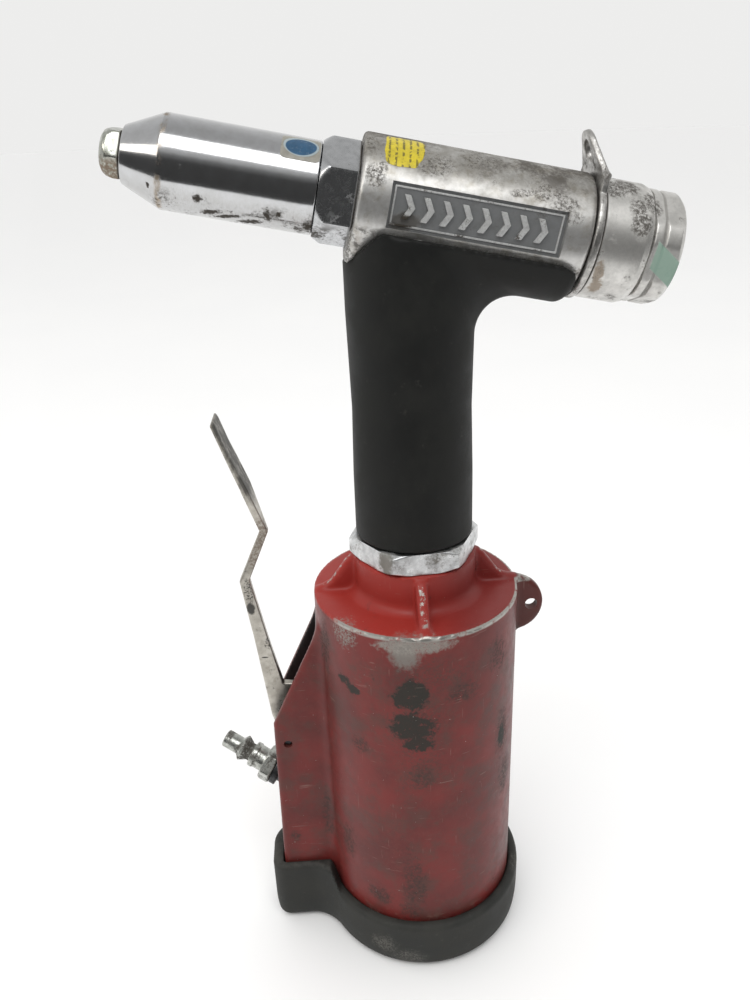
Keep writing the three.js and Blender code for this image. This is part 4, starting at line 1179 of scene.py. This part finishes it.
def boot_field(x, y, z):
    draft = 1.5 * np.clip((13 - z) / 13, 0, 1) ** 2
    plan = lobed_plan(x, y, BOOT_R, LOBE_HALF, LOBE_FRONT, 6, 8)
    plan = np.maximum(plan, round_corner(x, y, LOBE_FRONT, LOBE_HALF, HOUSING_CORNER + 4)) + draft
    step_up = np.clip((-36.5 - x) / 5, 0, 1)
    rim = 25.3 + 8.2 * step_up * step_up * (3 - 2 * step_up)
    wall = common(common(plan, z - rim, 2.2), -z, 5.0)
    gap, front = 0.35, -62
    hollow = lobed_plan(x, y, DRUM_R + gap, HOUSING_HALF + gap, front, 1.3, CORNER_FILLET - gap)
    hollow = np.maximum(hollow, round_corner(x, y, front, HOUSING_HALF + gap, HOUSING_CORNER))
    return less(wall, np.maximum(hollow, 4 - z), 0.9)


def rubber_boot():
    low, high = corners_mm("rubber_boot")
    mesh = skin("boot_skin", boot_field, low, high, 0.85)
    add("moulded_boot", mesh, boot_rubber(), "boot_rubber", "rubber_boot")


LEVER_SIDE = [(-72, 237.6), (-71.1, 239.7), (-70.2, 237.6), (-67.3, 228.3), (-61.2, 212.2),
              (-57.5, 199.5), (-55.6, 193), (-64.5, 172.5), (-59.7, 145), (-55.3, 122.8),
              (-50, 122.3), (-43.5, 100), (-43.5, 91.5), (-56.4, 91.5), (-57.6, 97),
              (-59.6, 101), (-61.3, 107), (-65.3, 146), (-68.5, 171.8), (-58.8, 193),
              (-60.7, 200.2), (-64.05, 212.4), (-69.1, 228.4)]
LEVER_WIDTHS = [(91, 7.2), (101, 7.2), (103, 1.6), (193, 1.6), (202, 3.6), (210, 5.2), (222, 6),
                (237.4, 6), (239, 5.2), (240, 3.8)]


def lever_field(x, y, z):
    side = outline_field(x, z, rounded(LEVER_SIDE, 0.9, 3))
    heights, halves = zip(*LEVER_WIDTHS)
    return common(side, np.abs(y) - np.interp(z, heights, halves), 0.55)


def trigger_lever():
    low, high = corners_mm("trigger_lever")
    body = skin("lever_skin", lever_field, low, high, 0.4, sharp=50)
    pin_hole = prism("lever_hole", disc(PIN_HOLE_R, (PIVOT_X, PIVOT_Z)), SIDEWAYS, -15, 15)
    add("pressed_trigger", carved(body, [pin_hole], sharp=50), lever_steel(), "nickel_steel",
        "trigger_lever", body="trigger")


def lever_pin(material):
    low, high = corners_mm("lever_pin")
    place = Matrix.Translation((PIVOT_X, 0, PIVOT_Z)) @ Matrix.Rotation(math.radians(-90), 4, "X")
    radius = (high.z - low.z) / 2
    profile = [(0, low.y), (radius - 0.3, low.y), (radius, low.y + 0.3), (radius, high.y - 0.3),
               (radius - 0.3, high.y), (0, high.y)]
    mesh = turned("lever_pin_skin", profile, place, 32)
    add("turned_lever_pin", mesh, material, "tool_steel", "lever_pin")


def air_plug():
    inner, outer, hexagon = reach("air_plug", INLET)
    bore = 2.3
    profile = [(bore, inner), (3.9, inner), (3.9, 3.2), (7.3, 3.2), (hexagon, 4.0), (hexagon, 7.6),
               (7.3, 8.4), (5.2, 8.4), (5.2, 12.6), (5.6, 12.8), (5.6, 14.9), (3.9, 15.1),
               (3.9, 16.5), (5.7, 19.6), (5.7, 20), (3.85, 21.5), (3.85, outer - 0.4),
               (3.5, outer), (bore + 0.3, outer), (bore, outer - 0.3)]
    first_corner = math.radians(14.3)
    mesh = turned("air_plug_skin", finely(rounded(profile, 0.3), 0.7), INLET, 144,
                  hexagon_cap(hexagon, first_corner), 0.4, (3.1, 8.5))
    add("turned_air_plug", mesh, plated_steel(), "plated_steel", "air_plug")


def inlet_bushing(material):
    profile = [(4.2, -8), (5, -8), (5, 0.3), (7.2, 0.3), (7.2, 2.9), (4.2, 2.9)]
    mesh = turned("bushing_skin", rounded(profile, 0.3), INLET, 96)
    add("turned_inlet_bushing", mesh, material, "black_steel", "inlet_bushing")


# ---------------------------------------------------------------- stickers
def curved_label(name, centre_u, centre_angle, half_u, half_around, radius, edge, material, slot):
    """A thin patch on a cylinder about the head's axis. edge(angle) scales its outline."""
    rings, steps, thickness = 10, 72, 0.09
    points = []
    for side in (0, 1):
        r = radius + 0.05 + thickness * side
        for ring in range(rings + 1):
            for k in range(steps if ring else 1):
                turn = 2 * math.pi * k / steps
                far = edge(turn) * ring / rings
                u = centre_u + half_u * far * math.cos(turn)
                angle = centre_angle + half_around / radius * far * math.sin(turn)
                lift = r - (0.05 * side if ring == rings else 0)
                points.append(head_point(u, lift * math.sin(angle), -lift * math.cos(angle)))
    per_side = 1 + rings * steps

    def ring_of(side, ring):
        start = side * per_side
        if ring == 0:
            return [start]
        first = start + 1 + (ring - 1) * steps
        return list(range(first, first + steps))
    faces = [face for side in (0, 1) for ring in range(rings)
             for face in band(ring_of(side, ring), ring_of(side, ring + 1))]
    faces += band(ring_of(0, rings), ring_of(1, rings))
    add(name, new_mesh(name, points, faces, 60), material, slot)


def oblong(turn, power):
    """How far out a rounded rectangle's edge is at that angle; a larger power is squarer."""
    return (abs(math.cos(turn)) ** power + abs(math.sin(turn)) ** power) ** (-1 / power)


def stickers():
    blue_centre = head_point(-36.6, 12.0, -8.4)
    film = sticker_finish("pale_film", (0.3, 0.29, 0.25), (0.12, 0.11, 0.09), 2)
    curved_label("film_patch", -36.6, math.radians(55), 6.1, 5.2, 14.59,
                 lambda turn: oblong(turn, 9), film, "chrome")
    blue = sticker_finish("blue_print", (0.022, 0.085, 0.17), (0.17, 0.24, 0.3), 5,
                          ((0.3, 0.36, 0.38), blue_centre, (5.9, 4.3, 4.3)))
    curved_label("oval_patch", -36.6, math.radians(56), 5.5, 4.2, 14.69,
                 lambda turn: 1.0, blue, "chrome")
    rng, count = random.Random(7), 24
    tears = [1 + rng.uniform(-0.05, 0.03) for _ in range(count)]

    def torn(turn):
        place = turn / (2 * math.pi) * count
        here, part = int(place) % count, place % 1
        ragged = tears[here] * (1 - part) + tears[(here + 1) % count] * part
        missing = 0.2 * math.exp(-((turn - 5.6) / 0.35) ** 2)
        return oblong(turn, 7) * (ragged - missing)
    yellow = sticker_finish("yellow_print", (0.62, 0.5, 0.025), (0.16, 0.12, 0.03), 3, bars=2.2)
    curved_label("torn_yellow_label", -5.0, math.radians(58), 6.3, 7.2, BARREL_R, torn, yellow,
                 "cast_aluminium")


# ---------------------------------------------------------------- springs and CAD nodes
def coil(name, mean, wire, low, high, turns, place):
    """A coil spring about place's Z as one closed tube. Mean is its wire's radius of turn."""
    per_turn, sides = 40, 12
    angle = np.linspace(0, 2 * math.pi * turns, per_turn * turns + 1)[:, None]
    out = np.hstack((np.cos(angle), np.sin(angle), 0 * angle))
    climb = (high - low) / (2 * math.pi * turns * mean)
    along = np.hstack((-np.sin(angle), np.cos(angle), climb + 0 * angle))
    across = np.cross(along / math.hypot(1, climb), out)
    heights = low + (high - low) * angle / angle[-1]
    middle = mean * out + np.hstack((0 * angle, 0 * angle, heights))
    points = []
    for centre, a, b in zip(middle, out, across):
        for k in range(sides):
            turn = 2 * math.pi * k / sides
            offset = wire * (math.cos(turn) * a + math.sin(turn) * b)
            points.append(place @ Vector(centre + offset))
    last = len(middle) - 1
    faces = [(r * sides + k, r * sides + (k + 1) % sides,
              (r + 1) * sides + (k + 1) % sides, (r + 1) * sides + k)
             for r in range(last) for k in range(sides)]
    faces += [tuple(range(sides)), tuple(last * sides + k for k in range(sides))]
    return new_mesh(name, points, faces, 50)


def springs(material):
    """The two springs a slide pushes on."""
    wire, low, high, travel = 1.2, 21.6, 78.4, 15.4
    mesh = coil("return_spring_skin", 11, wire, low, high, 8, HEAD)
    piece = add("wound_return_spring", mesh, material, "spring_steel", "return_spring")
    tuple(head_point(high + wire, 0) * MM)
    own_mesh(piece)
    wire, low, high, travel = 0.45, 15.3, 53.2, 2.9
    mesh = coil("valve_spring_skin", 3.5, wire, low, high, 7, Matrix.Translation((VALVE_X, 0, 0)))
    piece = add("wound_valve_spring", mesh, material, "spring_steel", "valve_spring")
    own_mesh(piece)


def dress_cad_nodes():
    """Procedural metal and rubber for the CAD nodes that are still shown."""
    tool = machined("ground_tool_steel", (0.42, 0.42, 0.43), (0.28, 0.28, 0.29))
    black = machined("blackened_steel", (0.07, 0.07, 0.072), (0.035, 0.035, 0.036), 0.35, 0.5)
    spring = machined("drawn_spring_wire", (0.45, 0.46, 0.48), (0.3, 0.31, 0.33))
    bronze = machined("machined_bronze", (0.62, 0.43, 0.19), (0.42, 0.28, 0.12))
    alloy = machined("turned_aluminium", (0.78, 0.79, 0.8), (0.6, 0.61, 0.62))
    rubber = seal_rubber()
    lever_pin(black)
    inlet_bushing(black)
    springs(spring)
    finishes = {
        tool: ("jaw_case", "jaw_pusher", "draw_piston", "ram_rod", "ram_nut"),
        black: ("jaw_1", "jaw_2", "jaw_3"),
        spring: ("jaw_spring", "base_snap_ring"),
        bronze: ("rod_gland", "ram_gland", "valve_spool", "valve_bush", "valve_cap"),
        alloy: ("air_piston", "base_plate"),
        rubber: ("rod_seal", "draw_piston_seal", "rear_cap_seal", "ram_seal", "air_piston_seal",
                 "base_plate_seal", "valve_seal_upper", "valve_seal_lower"),
    }
    for material, nodes in finishes.items():
        for node in nodes:
            mesh = frame["nodes"][node].data
            mesh.materials.clear()
            mesh.materials.append(material)


# ---------------------------------------------------------------- studio
HORIZON = 0.85                     # how bright the far floor is, and so the room behind it


def height_ramp(tree, height, stops):
    """A grey that changes with height, from (height, grey) stops at heights from -1 to 1."""
    share = tree.nodes.new("ShaderNodeMapRange")
    share.inputs["From Min"].default_value = -1
    tree.links.new(height, share.inputs["Value"])
    ramp = tree.nodes.new("ShaderNodeValToRGB")
    tree.links.new(share.outputs[0], ramp.inputs[0])
    while len(ramp.color_ramp.elements) < len(stops):
        ramp.color_ramp.elements.new(0.5)
    for element, (up, grey) in zip(ramp.color_ramp.elements, stops):
        element.position = (up + 1) / 2
        element.color = (grey, grey * 0.995, grey * 0.985, 1)
    return ramp.outputs[0]


def world():
    """A room whose far side is white and whose near side, behind the camera, is dark low down."""
    room = bpy.data.worlds.new("room")
    bpy.context.scene.world = room
    room.use_nodes = True
    tree = room.node_tree
    coords = tree.nodes.new("ShaderNodeTexCoord")
    split = tree.nodes.new("ShaderNodeSeparateXYZ")
    tree.links.new(coords.outputs["Generated"], split.inputs[0])
    far_side = height_ramp(tree, split.outputs["Z"], (
        (-1, 0.8), (0, HORIZON), (0.1, HORIZON), (0.3, 0.9), (0.8, 0.64), (1, 0.48)))
    near_side = height_ramp(tree, split.outputs["Z"], (
        (-1, 0.05), (0.22, 0.075), (0.4, 0.22), (0.5, 0.5), (0.65, 0.66), (1, 0.48)))
    facing = tree.nodes.new("ShaderNodeMapRange")
    facing.interpolation_type = "SMOOTHSTEP"
    facing.inputs["From Min"].default_value = -0.35
    facing.inputs["From Max"].default_value = 0.1
    tree.links.new(split.outputs["Y"], facing.inputs["Value"])
    mix = tree.nodes.new("ShaderNodeMix")
    mix.data_type = "RGBA"
    for socket, output in ((0, facing.outputs[0]), (6, near_side), (7, far_side)):
        tree.links.new(output, mix.inputs[socket])
    tree.links.new(mix.outputs[2], tree.nodes["Background"].inputs["Color"])


def softbox(name, place, aim, width, height, power, tint=(1, 1, 1)):
    """A soft rectangular light at place, turned towards aim."""
    data = bpy.data.lights.new(name, "AREA")
    data.shape = "RECTANGLE"
    data.size, data.size_y = width, height
    data.energy = power
    data.color = tint
    lamp = put(name, data)
    lamp.location = place
    lamp.rotation_euler = (Vector(aim) - Vector(place)).to_track_quat("-Z", "Y").to_euler()
    lamp.visible_camera = False


def stage_piece(name, points, faces, material):
    """A piece of floor or wall from points in metres."""
    mesh = bpy.data.meshes.new(name)
    mesh.from_pydata(points, [], faces)
    mesh.materials.append(material)
    part = put(name, mesh)
    return part


def floor():
    """A pale floor. Its far front half doesn't show in reflections, as a table's edge would."""
    f = Finish("pale_floor")
    cloud = f.noise(180, 3, 0.5)
    colour = f.mix(cloud, (0.9, 0.902, 0.905), (0.922, 0.922, 0.917))
    material = f.surface(colour, cloud.step(0.3, 0.7, 0.5, 0.62))
    table_edge, far = -0.42, 30.0
    for name, near_y, far_y, reflected in (("floor_back", table_edge, far, True),
                                           ("floor_front", -far, table_edge, False)):
        corners = [(-far, near_y, 0), (far, near_y, 0), (far, far_y, 0), (-far, far_y, 0)]
        part = stage_piece(name, corners, [(0, 1, 2, 3)], material)
        part.visible_glossy = reflected


def backdrop():
    """A pale wall all round, as bright as the far floor. Only a direct view meets it:
    reflections and light come from the room behind it."""
    material = bpy.data.materials.new("pale_wall")
    material.use_nodes = True
    tree = material.node_tree
    tree.nodes.clear()
    glow = tree.nodes.new("ShaderNodeEmission")
    glow.inputs["Color"].default_value = (1, 0.998, 0.99, 1)
    glow.inputs["Strength"].default_value = HORIZON
    output = tree.nodes.new("ShaderNodeOutputMaterial")
    tree.links.new(glow.outputs[0], output.inputs["Surface"])
    radius, sides, tall = 9.0, 96, 5.0
    ring = [(radius * math.cos(a), radius * math.sin(a))
            for a in (2 * math.pi * k / sides for k in range(sides))]
    points = [(x, y, z) for z in (-0.1, tall) for x, y in ring]
    faces = [(k, (k + 1) % sides, (k + 1) % sides + sides, k + sides) for k in range(sides)]
    part = stage_piece("pale_wall", points, faces, material)
    part.visible_glossy = part.visible_diffuse = part.visible_shadow = False
    part.visible_transmission = part.visible_volume_scatter = False


def skylight(strength):
    """Even light from above that the shiny parts don't show as a disc."""
    data = bpy.data.lights.new("sky", "SUN")
    data.energy = strength
    data.angle = math.radians(120)
    lamp = put("sky", data)
    lamp.rotation_euler = (math.radians(-12), math.radians(-14), 0)
    lamp.visible_glossy = False


def studio():
    world()
    floor()
    backdrop()
    softbox("window", (-0.1, -0.8, 1.5), (0, 0, 0.25), 1.5, 0.75, 11)
    softbox("side_window", (-1.15, -0.62, 1.05), (-0.05, 0, 0.28), 0.6, 0.4, 2.6, (1, 0.95, 0.88))
    skylight(1.15)
    bpy.context.scene.view_settings.view_transform = "Standard"


nosepiece()
nose_casing()
nose_locknut()
head_casting()
pocket_ornament()
rear_cap()
hanger_ring()
grip_sleeve()
handle_locknut()
base_casting()
rubber_boot()
trigger_lever()
air_plug()
stickers()
dress_cad_nodes()
studio()

bpy.context.view_layer.update()
